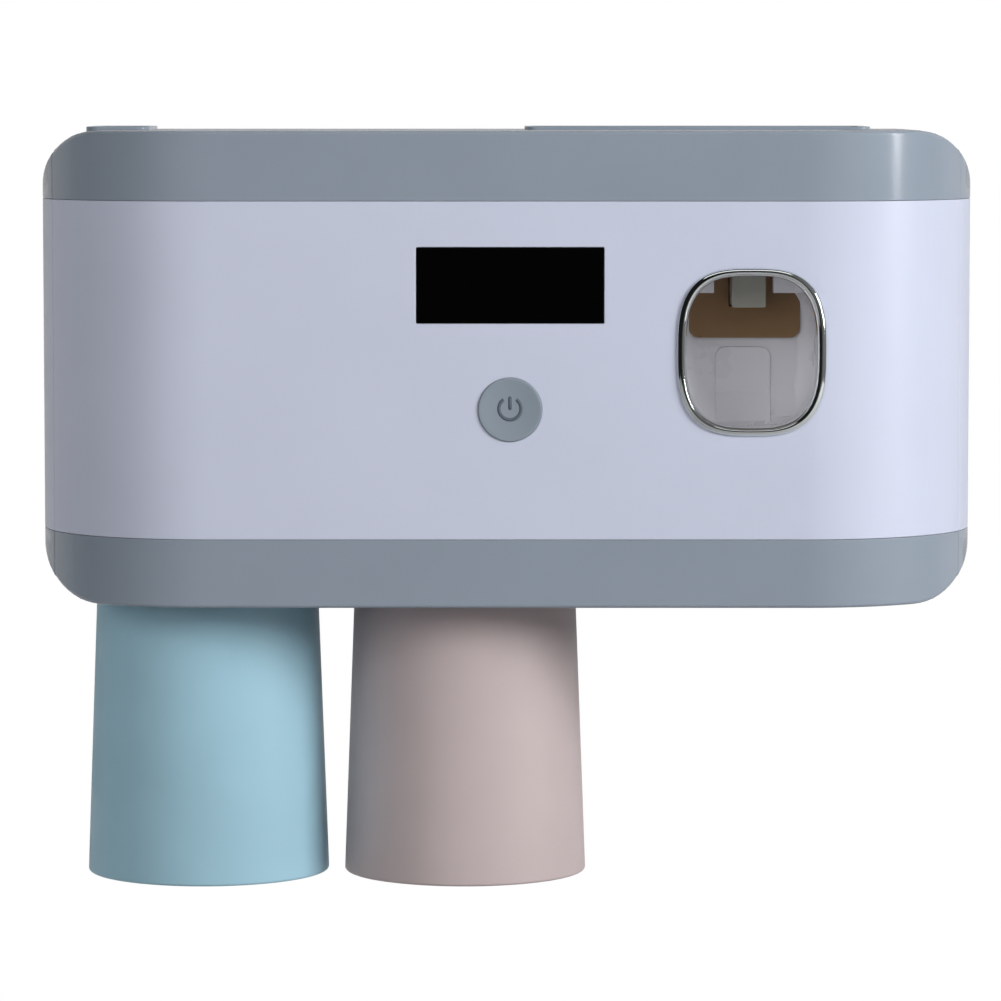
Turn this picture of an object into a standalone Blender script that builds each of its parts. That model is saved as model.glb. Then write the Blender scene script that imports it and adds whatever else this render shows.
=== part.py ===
"""A wall-mounted toothbrush holder: an ultraviolet drying bay behind a lift-up cover,
a toothpaste dispenser, and two cups that hang from magnets under the housing.

Metres, +Z up. X runs along the wall and Y into it. The origin is on the wall, at the
middle of the adhesive pad, which is also the middle of the housing's height and width.
"""

import math

import bmesh
import bpy
from mathutils import Matrix, Vector

# Clearances, and how far a cutter runs past what it cuts
FIT_GAP = 0.0003
SEAM_GAP = 0.0005
OVERRUN = 0.002
WELD = 0.000001
SCREW_WELD = 0.00001

# Housing
BODY_WIDTH = 0.280
BODY_HEIGHT = 0.140
BODY_DEPTH = 0.0914
OUTLINE_RADIUS = 0.0193
FRONT_RADIUS = 0.052
REAR_RADIUS = 0.005
LEAST_RADIUS = 0.0006
WALL = 0.0024
TOP_BAND = 0.0205
BOTTOM_BAND = 0.0202
LIP_THICKNESS = 0.0015
LIP_REACH = 0.006
COVER_DEPTH = 0.031

# Adhesive pad, wall bracket and its two hooks
PAD_WIDTH = 0.190
PAD_HEIGHT = 0.076
PAD_THICKNESS = 0.001
BRACKET_WIDTH = 0.200
BRACKET_HEIGHT = 0.086
BRACKET_THICKNESS = 0.003
BRACKET_RADIUS = 0.006
HOOK_SPACING = 0.170
HOOK_WIDTH = 0.012
HOOK_NECK = 0.003
HOOK_LIP_HEIGHT = 0.008
HOOK_LIP_THICKNESS = 0.0025
HOOK_DROP = 0.0193
LIFT = 0.010

# Cover hinge: a bead along the cover's top rear edge turns on two lugs of the top cap
HINGE_RADIUS = 0.003
HINGE_GAP = 0.0004
LUG_INSET = 0.045
LUG_WIDTH = 0.008
LUG_REACH = 0.006
PIN_RADIUS = 0.001
PIN_BORE_RADIUS = 0.0013
PIN_LENGTH = 0.018

# Recesses on the top, each with a raised rim
TRAY_RIM_HEIGHT = 0.001
TRAY_RIM_WIDTH = 0.0016
TRAY_DEPTH = 0.0015
TRAY_FRONT_INSET = 0.037
TRAY_REAR_INSET = 0.012
TRAY_RADIUS = 0.004
LARGE_TRAY_WIDTH = 0.1035
LARGE_TRAY_INSET = 0.031
SMALL_TRAY_WIDTH = 0.019
SMALL_TRAY_INSET = 0.014

# Display and power button: the display hangs below the upper seam, beside the window
DISPLAY_WIDTH = 0.0549
DISPLAY_HEIGHT = 0.0222
DISPLAY_TO_WINDOW = 0.0708
DISPLAY_DROP = 0.0246
LENS_THICKNESS = 0.0021
MODULE_MARGIN = 0.003
MODULE_DEPTH = 0.008
BUTTON_RADIUS = 0.0094
BUTTON_SHARE = 253 / 636
BUTTON_PROUD = 0.0006
BUTTON_FLANGE = 0.0016
BUTTON_FLANGE_THICKNESS = 0.001
BUTTON_TRAVEL = 0.0012
BUTTON_EDGE = 0.0008
STEM_RADIUS = 0.003
SWITCH_SIDE = 0.006
SWITCH_BODY = 0.0032

# Electronics behind the display, in the cover
BOARD_THICKNESS = 0.0016
BOARD_MARGIN = 0.004
BATTERY_RADIUS = 0.005
BATTERY_LENGTH = 0.044
BATTERY_DROP = 0.025
HOLDER_WALL = 0.0012
HOLDER_HEIGHT = 0.006
CASE_WALL = 0.0014
LEAD_RADIUS = 0.0006
CASE_SCREW_RADIUS = 0.0012
CASE_BOSS_RADIUS = 0.003
SCREW_HEAD_RADIUS = 0.0024
SCREW_HEAD_HEIGHT = 0.0016

# Ultraviolet lamp strip in the cover, facing the brush heads
LAMP_LEFT_REACH = 0.0318
LAMP_RIGHT_REACH = 0.0172
LAMP_DROP = 0.011
LAMP_BOARD_HEIGHT = 0.009
LAMP_BOARD_THICKNESS = 0.0012
LAMP_STANDOFF = 0.001
LAMP_COUNT = 3
LAMP_SIDE = 0.0035
LAMP_HEIGHT = 0.0014
LAMP_COVER_WALL = 0.0012
LAMP_COVER_DEPTH = 0.008

# Dispenser window in the cover, set in from the housing's right end
WINDOW_INSET = 0.0682
WINDOW_Z = 0.0054
RING_WIDTH = 0.0439
RING_HEIGHT = 0.0493
OPENING_WIDTH = 0.0382
OPENING_HEIGHT = 0.0444
RING_PROUD = 0.0013
RING_FLANGE = 0.0011
COLLAR_WALL = 0.0013
COLLAR_LENGTH = 0.006
WINDOW_SQUARENESS = 3.0

# Dispenser behind the window, in the rear housing. A rise or a drop is from the window's
# centre, and a depth that ends in BEHIND is from the bay's back
FRAME_WIDTH = 0.052
FRAME_RISE = 0.0426
FRAME_DROP = 0.0299
FRAME_FRONT_GAP = 0.001
FRAME_BEHIND = 0.031
FRAME_WALL = 0.0017
BAY_MARGIN = 0.0011
BAY_DEPTH = 0.035
SCOOP_RADIUS = 0.014
CHAMBER_WIDTH = 0.026
CHAMBER_BEHIND = 0.0265
CHAMBER_RISE = 0.0406
EAR_REACH = 0.0068
EAR_THICKNESS = 0.0024
EAR_DROP = 0.0073
EAR_HEIGHT = 0.009
DISPENSER_BOSS_RADIUS = 0.0036
DISPENSER_SCREW_RADIUS = 0.0014
DISPENSER_SCREW_LENGTH = 0.012
RIB_LEFT_GAP = 0.0104
RIB_RIGHT_GAP = 0.0072
RIB_RISE = 0.0166
RIB_DEPTH = 0.018
RIB_THICKNESS = 0.006
SHIELD_WIDTH = 0.0332
SHIELD_OFFSET = 0.0006
SHIELD_RISE = 0.0026
SHIELD_THICKNESS = 0.0012
SHIELD_RADIUS = 0.003
SHIELD_LAP = 0.0024
NOZZLE_WIDTH = 0.010
NOZZLE_RISE = 0.0123
NOZZLE_HEIGHT = 0.0158
NOZZLE_DEPTH = 0.018
NOZZLE_BORE_RADIUS = 0.002
SLEEVE_BEHIND = 0.013
SLEEVE_RADIUS = 0.004
SLEEVE_BORE_RADIUS = 0.0026
SLEEVE_RISE = 0.0106
SLEEVE_LENGTH = 0.0240
VALVE_RADIUS = 0.0056
VALVE_FLANGE = 0.0030
OUTLET_VALVE_LENGTH = 0.003

# Lever that a toothbrush pushes back
LEVER_OFFSET = 0.001
LEVER_WIDTH = 0.0164
LEVER_THICKNESS = 0.0022
LEVER_PROUD = 0.0006
LEVER_TOP_DROP = 0.0002
LEVER_BEND_DROP = 0.0137
LEVER_BOTTOM_DROP = 0.0239
LEVER_BOTTOM_FORWARD = 0.0072
PIVOT_BEHIND = 0.006
PIVOT_RISE = 0.0031
HUB_RADIUS = 0.0032
LEVER_PIN_RADIUS = 0.00125
LEVER_BORE_RADIUS = 0.00155
LEVER_PIN_LENGTH = 0.0295
ARM_WIDTH = 0.009
ARM_GAP = 0.0005
ARM_THICKNESS = 0.0025
ARM_RISE = 0.0286
LEVER_SLOT_DROP = 0.0279
LEVER_SLOT_BEHIND = 0.013
SPRING_RADIUS = 0.0025
SPRING_WIRE = 0.00035
SPRING_TURNS = 6
SPRING_DROP = 0.0094

# Tube seat in the top cap
PORT_RADIUS = 0.0078
PORT_FLANGE = 0.0014
PORT_FLANGE_THICKNESS = 0.0012
TUBE_BORE_RADIUS = 0.0062
TUBE_NECK_RADIUS = 0.0032
SEAT_FOOT_RADIUS = 0.0052
SEAT_WALL = 0.0016

# Brush bay under the dispenser
NOTCH_COUNT = 4
NOTCH_INSET = 0.026
NOTCH_PITCH = 0.024
NOTCH_WIDTH = 0.009
NOTCH_DEPTH = 0.016
RACK_NOTCH_WIDTH = 0.0076
RACK_THICKNESS = 0.002
RACK_SIDE_MARGIN = 0.0022
RACK_REAR_MARGIN = 0.006
PARTITION_TO_NOTCH = 0.0145
PARTITION_THICKNESS = 0.002

# Magnets: two cup docks in the base cap, two cover catches
DOCK_DEPTH = 0.050
MAGNET_RADIUS = 0.006
MAGNET_HEIGHT = 0.003
MAGNET_FLOOR = 0.0013
RETAINER_WALL = 0.0014
RETAINER_FLANGE = 0.003
CATCH_SPACING = 0.062
CATCH_TO_PARTITION = 0.0175
CATCH_RADIUS = 0.003
CATCH_MAGNET_LENGTH = 0.003
CATCH_PLATE_LENGTH = 0.0015
CATCH_BLOCK = 0.010
CATCH_BLOCK_DEPTH = 0.0050

# Cups, hung upside down under the bay that lies left of the partition
CUP_PITCH = 0.0781
CUP_SHIFT = 0.0046
CUP_BASE_RADIUS = 0.0336
CUP_MOUTH_RADIUS = 0.0366
CUP_HEIGHT = 0.0844
CUP_WALL = 0.0022
CUP_BASE = 0.0034
CUP_CORNER = 0.0016
CUP_LIP = 0.0007
CUP_GAP = 0.0004
DISC_RADIUS = 0.010
DISC_THICKNESS = 0.0015

# Screws at the back, charging socket
BACK_SCREW_SIDE_INSET = 0.025
BACK_SCREW_INSET = 0.003
BACK_SCREW_RADIUS = 0.0015
BACK_SCREW_LENGTH = 0.0085
BACK_BOSS_RADIUS = 0.0034
BACK_BOSS_DEPTH = 0.005
SOCKET_OFFSET = 0.029
SOCKET_FRONT_INSET = 0.016
SOCKET_WIDTH = 0.009
SOCKET_THICKNESS = 0.0034
SOCKET_LENGTH = 0.0075
SOCKET_WALL = 0.0004
SOCKET_SLEEVE_WALL = 0.0014

# How finely curves are divided
OUTLINE_STEPS = 6
FRONT_STEPS = 9
SMALL_STEPS = 3
WINDOW_STEPS = 40
CUP_STEPS = 40
ROUND_STEPS = 20
BORE_STEPS = 12

# Places that follow from the sizes above
REAR_Y = -(PAD_THICKNESS + FIT_GAP + BRACKET_THICKNESS + FIT_GAP)
FRONT_Y = REAR_Y - BODY_DEPTH
PARTING_Y = FRONT_Y + COVER_DEPTH
PANEL_REAR_Y = FRONT_Y + WALL
TOP_Z = BODY_HEIGHT / 2
BOTTOM_Z = -BODY_HEIGHT / 2
TOP_SEAM_Z = TOP_Z - TOP_BAND
BOTTOM_SEAM_Z = BOTTOM_Z + BOTTOM_BAND
HALF_GAP = FIT_GAP / 2
CAP_WALL = WALL + FIT_GAP + LIP_THICKNESS
FLOOR_Z = BOTTOM_Z + CAP_WALL
CEILING_Z = TOP_Z - CAP_WALL
END_X = BODY_WIDTH / 2
LIP_FOOT_Z = TOP_SEAM_Z - LIP_REACH
HOOK_Z = LIP_FOOT_Z - HOOK_DROP
HINGE_Z = TOP_Z - HINGE_RADIUS
LUG_XS = (LUG_INSET - END_X, END_X - LUG_INSET)
LARGE_TRAY_END = END_X - LARGE_TRAY_INSET
SMALL_TRAY_END = SMALL_TRAY_INSET - END_X
TRAY_SPANS = (
    (LARGE_TRAY_END - LARGE_TRAY_WIDTH, LARGE_TRAY_END),
    (SMALL_TRAY_END, SMALL_TRAY_END + SMALL_TRAY_WIDTH),
)
BACK_SCREW_X = END_X - BACK_SCREW_SIDE_INSET
WINDOW_X = END_X - WINDOW_INSET
DISPLAY_X = WINDOW_X - DISPLAY_TO_WINDOW
DISPLAY_Z = TOP_SEAM_Z - DISPLAY_DROP
DISPLAY_FOOT_Z = DISPLAY_Z - DISPLAY_HEIGHT / 2
BUTTON_Z = DISPLAY_FOOT_Z - (DISPLAY_FOOT_Z - BOTTOM_SEAM_Z) * BUTTON_SHARE
PLATE_Y = -(PAD_THICKNESS + FIT_GAP)
BAY_BACK_Y = FRONT_Y + BAY_DEPTH
FRAME_FRONT_Y = FRONT_Y + WALL + COLLAR_LENGTH + FRAME_FRONT_GAP
FRAME_REAR = BAY_BACK_Y + FRAME_BEHIND
FRAME_LEFT = WINDOW_X - FRAME_WIDTH / 2
FRAME_RIGHT = WINDOW_X + FRAME_WIDTH / 2
FRAME_TOP = WINDOW_Z + FRAME_RISE
FRAME_BOTTOM = WINDOW_Z - FRAME_DROP
EAR_Z = LIP_FOOT_Z - EAR_DROP
LAMP_X = (WINDOW_X - LAMP_LEFT_REACH, WINDOW_X + LAMP_RIGHT_REACH)
LAMP_Z = FRAME_BOTTOM - LAMP_DROP
BAY_WIDTH = OPENING_WIDTH + 2 * BAY_MARGIN
BAY_HEIGHT = OPENING_HEIGHT + 2 * BAY_MARGIN
BAY_FLOOR_Z = WINDOW_Z - BAY_HEIGHT / 2
BAY_ROOF_Z = WINDOW_Z + BAY_HEIGHT / 2
CHAMBER_FRONT_Y = BAY_BACK_Y + FRAME_WALL
CHAMBER_REAR = BAY_BACK_Y + CHAMBER_BEHIND
CHAMBER_TOP = WINDOW_Z + CHAMBER_RISE
SHIELD_X = WINDOW_X - SHIELD_OFFSET
SHIELD_BOTTOM = WINDOW_Z + SHIELD_RISE
NOZZLE_BOTTOM = WINDOW_Z + NOZZLE_RISE
NOZZLE_TOP = NOZZLE_BOTTOM + NOZZLE_HEIGHT
SLEEVE_Y = BAY_BACK_Y + SLEEVE_BEHIND
SLEEVE_BOTTOM = WINDOW_Z + SLEEVE_RISE
SLEEVE_TOP = SLEEVE_BOTTOM + SLEEVE_LENGTH
LEVER_X = WINDOW_X - LEVER_OFFSET
LEVER_TOP = WINDOW_Z - LEVER_TOP_DROP
LEVER_BEND = WINDOW_Z - LEVER_BEND_DROP
LEVER_BOTTOM = WINDOW_Z - LEVER_BOTTOM_DROP
LEVER_SLOT_BOTTOM = WINDOW_Z - LEVER_SLOT_DROP
LEVER_SLOT_REAR = BAY_BACK_Y + LEVER_SLOT_BEHIND
PIVOT_Y = BAY_BACK_Y + PIVOT_BEHIND
PIVOT_Z = WINDOW_Z + PIVOT_RISE
ARM_TOP = WINDOW_Z + ARM_RISE
SPRING_Z = WINDOW_Z - SPRING_DROP
CHAMBER_BOTTOM = PIVOT_Z - HUB_RADIUS + FIT_GAP
NOTCH_FIRST_X = END_X - NOTCH_INSET - NOTCH_PITCH * (NOTCH_COUNT - 1)
NOTCH_XS = [NOTCH_FIRST_X + NOTCH_PITCH * index for index in range(NOTCH_COUNT)]
PARTITION_X = NOTCH_FIRST_X - PARTITION_TO_NOTCH
CATCH_RIGHT_X = PARTITION_X - CATCH_TO_PARTITION
CATCH_X = (CATCH_RIGHT_X - CATCH_SPACING, CATCH_RIGHT_X)
SOCKET_X = DISPLAY_X + SOCKET_OFFSET
CUP_MIDDLE_X = (PARTITION_X - END_X) / 2 + CUP_SHIFT
CUP_X = (CUP_MIDDLE_X - CUP_PITCH / 2, CUP_MIDDLE_X + CUP_PITCH / 2)
CUP_Y = FRONT_Y + DOCK_DEPTH
CUP_TOP_Z = BOTTOM_Z - CUP_GAP
MODULE_FRONT_Y = PANEL_REAR_Y + FIT_GAP
BOARD_Y = MODULE_FRONT_Y + MODULE_DEPTH + FIT_GAP
SWITCH_FRONT_Y = BOARD_Y - FIT_GAP - SWITCH_BODY
STEM_END_Y = SWITCH_FRONT_Y - BUTTON_TRAVEL - FIT_GAP
BATTERY_Y = BOARD_Y + BOARD_THICKNESS + FIT_GAP + HOLDER_WALL + FIT_GAP + BATTERY_RADIUS
CASE_REAR_Y = BATTERY_Y + BATTERY_RADIUS + FIT_GAP + CASE_WALL

# Colours as linear light, roughness, metallic
WHITE_PLASTIC = ((0.66, 0.69, 0.80), 0.38, 0.0)
GREY_PLASTIC = ((0.29, 0.35, 0.42), 0.30, 0.0)
BUTTON_GREY = ((0.30, 0.33, 0.39), 0.40, 0.0)
INNER_WHITE = ((0.55, 0.56, 0.60), 0.45, 0.0)
BLUE_PLASTIC = ((0.33, 0.54, 0.60), 0.55, 0.0)
PINK_PLASTIC = ((0.54, 0.42, 0.42), 0.55, 0.0)
BLACK_GLOSS = ((0.002, 0.002, 0.002), 0.08, 0.0)
BLACK_PLASTIC = ((0.02, 0.02, 0.02), 0.5, 0.0)
AMBER_PLASTIC = ((0.12, 0.075, 0.045), 0.35, 0.0)
CHROME = ((0.75, 0.77, 0.80), 0.10, 1.0)
STEEL = ((0.50, 0.50, 0.51), 0.35, 1.0)
MAGNET_NICKEL = ((0.60, 0.59, 0.57), 0.25, 1.0)
SILICONE = ((0.72, 0.72, 0.70), 0.6, 0.0)
BOARD_GREEN = ((0.02, 0.12, 0.05), 0.45, 0.0)
CELL_BLUE = ((0.03, 0.12, 0.35), 0.35, 0.0)
LAMP_CERAMIC = ((0.80, 0.78, 0.60), 0.4, 0.0)
CLEAR_PLASTIC = ((0.80, 0.84, 0.88), 0.1, 0.0)
LEAD_RED = ((0.45, 0.02, 0.02), 0.5, 0.0)
FOAM_GREY = ((0.35, 0.35, 0.34), 0.8, 0.0)


def clear_scene():
    for old in list(bpy.data.objects):
        bpy.data.objects.remove(old)


def new_collection(name):
    made = bpy.data.collections.new(name)
    bpy.context.scene.collection.children.link(made)
    return made


def material(name, finish):
    """A Principled material, made once for each finish."""
    made = bpy.data.materials.get(name)
    if made is None:
        colour, roughness, metallic = finish
        made = bpy.data.materials.new(name)
        made.use_nodes = True
        shader = made.node_tree.nodes["Principled BSDF"]
        shader.inputs["Base Color"].default_value = (*colour, 1)
        shader.inputs["Roughness"].default_value = roughness
        shader.inputs["Metallic"].default_value = metallic
    return made


def new_object(name, data):
    made = bpy.data.objects.new(name, data)
    WORKSHOP.objects.link(made)
    return made


def evaluated_mesh(obj):
    bpy.context.view_layer.update()
    graph = bpy.context.evaluated_depsgraph_get()
    return bpy.data.meshes.new_from_object(obj.evaluated_get(graph))


def weld(mesh):
    """Points that coincide become one."""
    work = bmesh.new()
    work.from_mesh(mesh)
    bmesh.ops.remove_doubles(work, verts=work.verts, dist=WELD)
    work.to_mesh(mesh)
    work.free()


def face_outwards(mesh):
    """Every face of a solid without a cavity is turned outwards."""
    work = bmesh.new()
    work.from_mesh(mesh)
    bmesh.ops.recalc_face_normals(work, faces=work.faces)
    work.to_mesh(mesh)
    work.free()


def box(name, low, high):
    """A box between two opposite corners."""
    low, high = Vector(low), Vector(high)
    work = bmesh.new()
    bmesh.ops.create_cube(work, size=1)
    bmesh.ops.scale(work, vec=high - low, verts=work.verts)
    bmesh.ops.translate(work, vec=(low + high) / 2, verts=work.verts)
    mesh = bpy.data.meshes.new(name)
    work.to_mesh(mesh)
    work.free()
    return new_object(name, mesh)


def rod(name, radius, start, end, steps=ROUND_STEPS):
    """A round bar from one point to another."""
    start, end = Vector(start), Vector(end)
    turn = Vector((0, 0, 1)).rotation_difference(end - start).to_matrix().to_4x4()
    work = bmesh.new()
    bmesh.ops.create_cone(
        work,
        cap_ends=True,
        segments=steps,
        radius1=radius,
        radius2=radius,
        depth=(end - start).length,
        matrix=Matrix.Translation((start + end) / 2) @ turn,
    )
    mesh = bpy.data.meshes.new(name)
    work.to_mesh(mesh)
    work.free()
    return new_object(name, mesh)


# Which world axis takes an outline's u, its v and the direction it is extruded in
PRISM_AXES = {"X": (1, 2, 0), "Y": (0, 2, 1), "Z": (0, 1, 2)}


def prism(name, outline, axis, low, high):
    """A flat outline extruded along a world axis, from low to high."""
    curve = bpy.data.curves.new(name, "CURVE")
    curve.dimensions = "2D"
    curve.fill_mode = "BOTH"
    curve.extrude = (high - low) / 2
    spline = curve.splines.new("POLY")
    spline.points.add(len(outline) - 1)
    for point, (u, v) in zip(spline.points, outline):
        point.co = (u, v, 0, 1)
    spline.use_cyclic_u = True
    flat = new_object(name, curve)
    mesh = evaluated_mesh(flat)
    bpy.data.objects.remove(flat)
    bpy.data.curves.remove(curve)
    for vertex in mesh.vertices:
        u, v, w = vertex.co
        place = [0, 0, 0]
        for world_axis, value in zip(PRISM_AXES[axis], (u, v, w + (low + high) / 2)):
            place[world_axis] = value
        vertex.co = place
    weld(mesh)
    face_outwards(mesh)
    return new_object(name, mesh)


def turned(name, profile, centre, direction=(0, 0, 1), steps=ROUND_STEPS, closed=False):
    """A profile of (radius, height) points, top to bottom, turned about a centre line."""
    mesh = bpy.data.meshes.new(name)
    edges = [(index, index + 1) for index in range(len(profile) - 1)]
    if closed:
        edges.append((len(profile) - 1, 0))
    mesh.from_pydata([(radius, 0, height) for radius, height in profile], edges, [])
    made = new_object(name, mesh)
    spin = made.modifiers.new("Turn", "SCREW")
    spin.steps = steps
    spin.render_steps = steps
    spin.use_merge_vertices = True
    spin.merge_threshold = SCREW_WELD
    bake(made)
    turn = Vector((0, 0, 1)).rotation_difference(Vector(direction)).to_matrix().to_4x4()
    made.data.transform(Matrix.Translation(centre) @ turn)
    weld(made.data)
    face_outwards(made.data)
    return made


def bake(obj):
    """The object's modifiers made part of its mesh."""
    mesh = evaluated_mesh(obj)
    old = obj.data
    obj.modifiers.clear()
    obj.data = mesh
    bpy.data.meshes.remove(old)


def combine(body, tools, operation):
    for tool in tools:
        step = body.modifiers.new(operation.title(), "BOOLEAN")
        step.operation = operation
        step.solver = "EXACT"
        step.object = tool
        bake(body)
        bpy.data.objects.remove(tool)
    weld(body.data)
    return body


def cut(body, *tools):
    return combine(body, tools, "DIFFERENCE")


def join(body, *tools):
    return combine(body, tools, "UNION")


def keep(body, *tools):
    return combine(body, tools, "INTERSECT")


def arc(centre, radius, start, end, steps):
    """Points on an arc between two angles in degrees, both ends included."""
    found = []
    for index in range(steps + 1):
        angle = math.radians(start + (end - start) * index / steps)
        found.append((centre[0] + radius * math.cos(angle), centre[1] + radius * math.sin(angle)))
    return found


def rounded_outline(low, high, radius, steps=SMALL_STEPS):
    """A rectangle between two corners, with four round corners."""
    return two_radius_outline(low, high, radius, radius, steps, steps)


def two_radius_outline(low, high, low_radius, high_radius, low_steps, high_steps):
    """A rectangle whose low-v corners have one radius and whose high-v corners another."""
    left, bottom = low
    right, top = high
    points = arc((left + low_radius, bottom + low_radius), low_radius, 180, 270, low_steps)
    points += arc((right - low_radius, bottom + low_radius), low_radius, 270, 360, low_steps)
    points += arc((right - high_radius, top - high_radius), high_radius, 0, 90, high_steps)
    points += arc((left + high_radius, top - high_radius), high_radius, 90, 180, high_steps)
    return points


def window_outline(width, height):
    """A squared oval round the window's centre."""
    power = 2 / WINDOW_SQUARENESS
    points = []
    for index in range(WINDOW_STEPS):
        angle = math.tau * index / WINDOW_STEPS
        across = math.copysign(abs(math.cos(angle)) ** power, math.cos(angle))
        up = math.copysign(abs(math.sin(angle)) ** power, math.sin(angle))
        points.append((WINDOW_X + across * width / 2, WINDOW_Z + up * height / 2))
    return points


def housing_form(name, inset):
    """The housing's outer form, drawn in by an inset on every side."""
    half = BODY_WIDTH / 2 - inset
    tall = BODY_HEIGHT / 2 - inset
    radius = max(OUTLINE_RADIUS - inset, LEAST_RADIUS)
    seen_from_front = rounded_outline((-half, -tall), (half, tall), radius, OUTLINE_STEPS)
    seen_from_above = two_radius_outline(
        (-half, FRONT_Y + inset),
        (half, REAR_Y - inset),
        max(FRONT_RADIUS - inset, LEAST_RADIUS),
        max(REAR_RADIUS - inset, LEAST_RADIUS),
        FRONT_STEPS,
        SMALL_STEPS,
    )
    body = prism(name, seen_from_front, "Y", FRONT_Y - OVERRUN, REAR_Y + OVERRUN)
    return keep(body, prism("plan", seen_from_above, "Z", BOTTOM_Z - OVERRUN, TOP_Z + OVERRUN))


def housing_shell(name, thickness, y_range, z_range):
    """The part of a hollow housing that lies between two planes in Y and two in Z."""
    reach = BODY_WIDTH / 2 + OVERRUN
    region = box("region", (-reach, y_range[0], z_range[0]), (reach, y_range[1], z_range[1]))
    solid = keep(housing_form(name, 0), region)
    return cut(solid, housing_form("inside", thickness))


COVER_Y = (FRONT_Y - OVERRUN, PARTING_Y - SEAM_GAP)
REAR_HALF_Y = (PARTING_Y, REAR_Y + OVERRUN)
MIDDLE_Z = (BOTTOM_SEAM_Z + HALF_GAP, TOP_SEAM_Z - HALF_GAP)


def top_band(name, y_range):
    """A grey top, with a lip that runs down inside the white part below it."""
    z_range = (TOP_SEAM_Z - LIP_REACH, TOP_Z + OVERRUN)
    band = housing_shell(name, CAP_WALL, y_range, z_range)
    return cut(band, rebate(TOP_SEAM_Z - LIP_REACH - OVERRUN, TOP_SEAM_Z + HALF_GAP))


def bottom_band(name, y_range):
    """A grey bottom, with a lip that runs up inside the white part above it."""
    z_range = (BOTTOM_Z - OVERRUN, BOTTOM_SEAM_Z + LIP_REACH)
    band = housing_shell(name, CAP_WALL, y_range, z_range)
    return cut(band, rebate(BOTTOM_SEAM_Z - HALF_GAP, BOTTOM_SEAM_Z + LIP_REACH + OVERRUN))


def rebate(low_z, high_z):
    """What is cleared from a band so that the white wall can lap over its lip."""
    reach = BODY_WIDTH / 2 + OVERRUN
    around = box(
        "rebate",
        (-reach, FRONT_Y - OVERRUN, low_z),
        (reach, REAR_Y + OVERRUN, high_z),
    )
    return cut(around, housing_form("lip_side", WALL + FIT_GAP))


def pin_bore(centre_x):
    half = PIN_LENGTH / 2 + FIT_GAP
    start = (centre_x - half, PARTING_Y, HINGE_Z)
    end = (centre_x + half, PARTING_Y, HINGE_Z)
    return rod("pin_bore", PIN_BORE_RADIUS, start, end, BORE_STEPS)


def lug_slot(centre_x):
    """The gap in the cover's bead and top wall that clears a lug."""
    half = LUG_WIDTH / 2 + HINGE_GAP
    front = PARTING_Y - HINGE_RADIUS - HINGE_GAP
    return box(
        "lug_slot",
        (centre_x - half, front, HINGE_Z - HINGE_RADIUS - OVERRUN),
        (centre_x + half, PARTING_Y + HINGE_RADIUS + OVERRUN, TOP_Z + OVERRUN),
    )


def hinge_lug(centre_x):
    """A rounded tab that reaches forward from the top cap to the hinge axis."""
    half = LUG_WIDTH / 2
    radius = HINGE_RADIUS - HALF_GAP
    outline = arc((PARTING_Y, HINGE_Z), radius, 90, 270, OUTLINE_STEPS)
    outline.append((PARTING_Y + LUG_REACH, HINGE_Z - radius))
    outline.append((PARTING_Y + LUG_REACH, HINGE_Z + radius))
    lug = prism("lug", outline, "X", centre_x - half, centre_x + half)
    return cut(lug, pin_bore(centre_x))


def make_door_top_band():
    band = top_band("door_top_band", COVER_Y)
    reach = BODY_WIDTH / 2
    bar = rod("bead", HINGE_RADIUS, (-reach, PARTING_Y, HINGE_Z), (reach, PARTING_Y, HINGE_Z))
    bead = keep(bar, housing_form("outer", HALF_GAP))
    join(band, bead)
    for centre_x in LUG_XS:
        cut(band, lug_slot(centre_x), pin_bore(centre_x))
    return band


def hinge_clearance():
    """Room behind the hinge axis for the cover's rear edge as it swings up."""
    reach = BODY_WIDTH / 2 + OVERRUN
    return box(
        "hinge_clearance",
        (-reach, PARTING_Y - OVERRUN, HINGE_Z - HINGE_RADIUS - HINGE_GAP),
        (reach, PARTING_Y + HINGE_RADIUS + HINGE_GAP, TOP_Z + OVERRUN),
    )


def tray_outline(x_range, inset):
    low = (x_range[0] + inset, FRONT_Y + TRAY_FRONT_INSET + inset)
    high = (x_range[1] - inset, REAR_Y - TRAY_REAR_INSET - inset)
    return rounded_outline(low, high, TRAY_RADIUS - inset)


def make_top_cap():
    cap = top_band("top_cap", REAR_HALF_Y)
    cut(cap, hinge_clearance())
    for x_range in TRAY_SPANS:
        floor_z = TOP_Z - TRAY_DEPTH
        rim_z = TOP_Z + TRAY_RIM_HEIGHT
        join(cap, prism("rim", tray_outline(x_range, 0), "Z", floor_z, rim_z))
        inside = tray_outline(x_range, TRAY_RIM_WIDTH)
        cut(cap, prism("recess", inside, "Z", floor_z, rim_z + OVERRUN))
    port = PORT_RADIUS + FIT_GAP
    cut(cap, rod("port", port, (WINDOW_X, SLEEVE_Y, CEILING_Z - OVERRUN), (WINDOW_X, SLEEVE_Y, TOP_Z)))
    for centre_x in LUG_XS:
        join(cap, hinge_lug(centre_x))
    for centre_x in (-BACK_SCREW_X, BACK_SCREW_X):
        add_back_boss(cap, centre_x, TOP_SEAM_Z - BACK_SCREW_INSET)
    return cap


def add_back_boss(cap, centre_x, centre_z):
    """A boss inside a lip for a screw that comes through the rear wall."""
    back = REAR_Y - WALL - FIT_GAP
    front = back - BACK_BOSS_DEPTH
    join(cap, rod("boss", BACK_BOSS_RADIUS, (centre_x, front, centre_z), (centre_x, back, centre_z)))
    bore = BACK_SCREW_RADIUS + FIT_GAP
    end = (centre_x, back + OVERRUN, centre_z)
    cut(cap, rod("bore", bore, (centre_x, front - OVERRUN, centre_z), end, BORE_STEPS))


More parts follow.
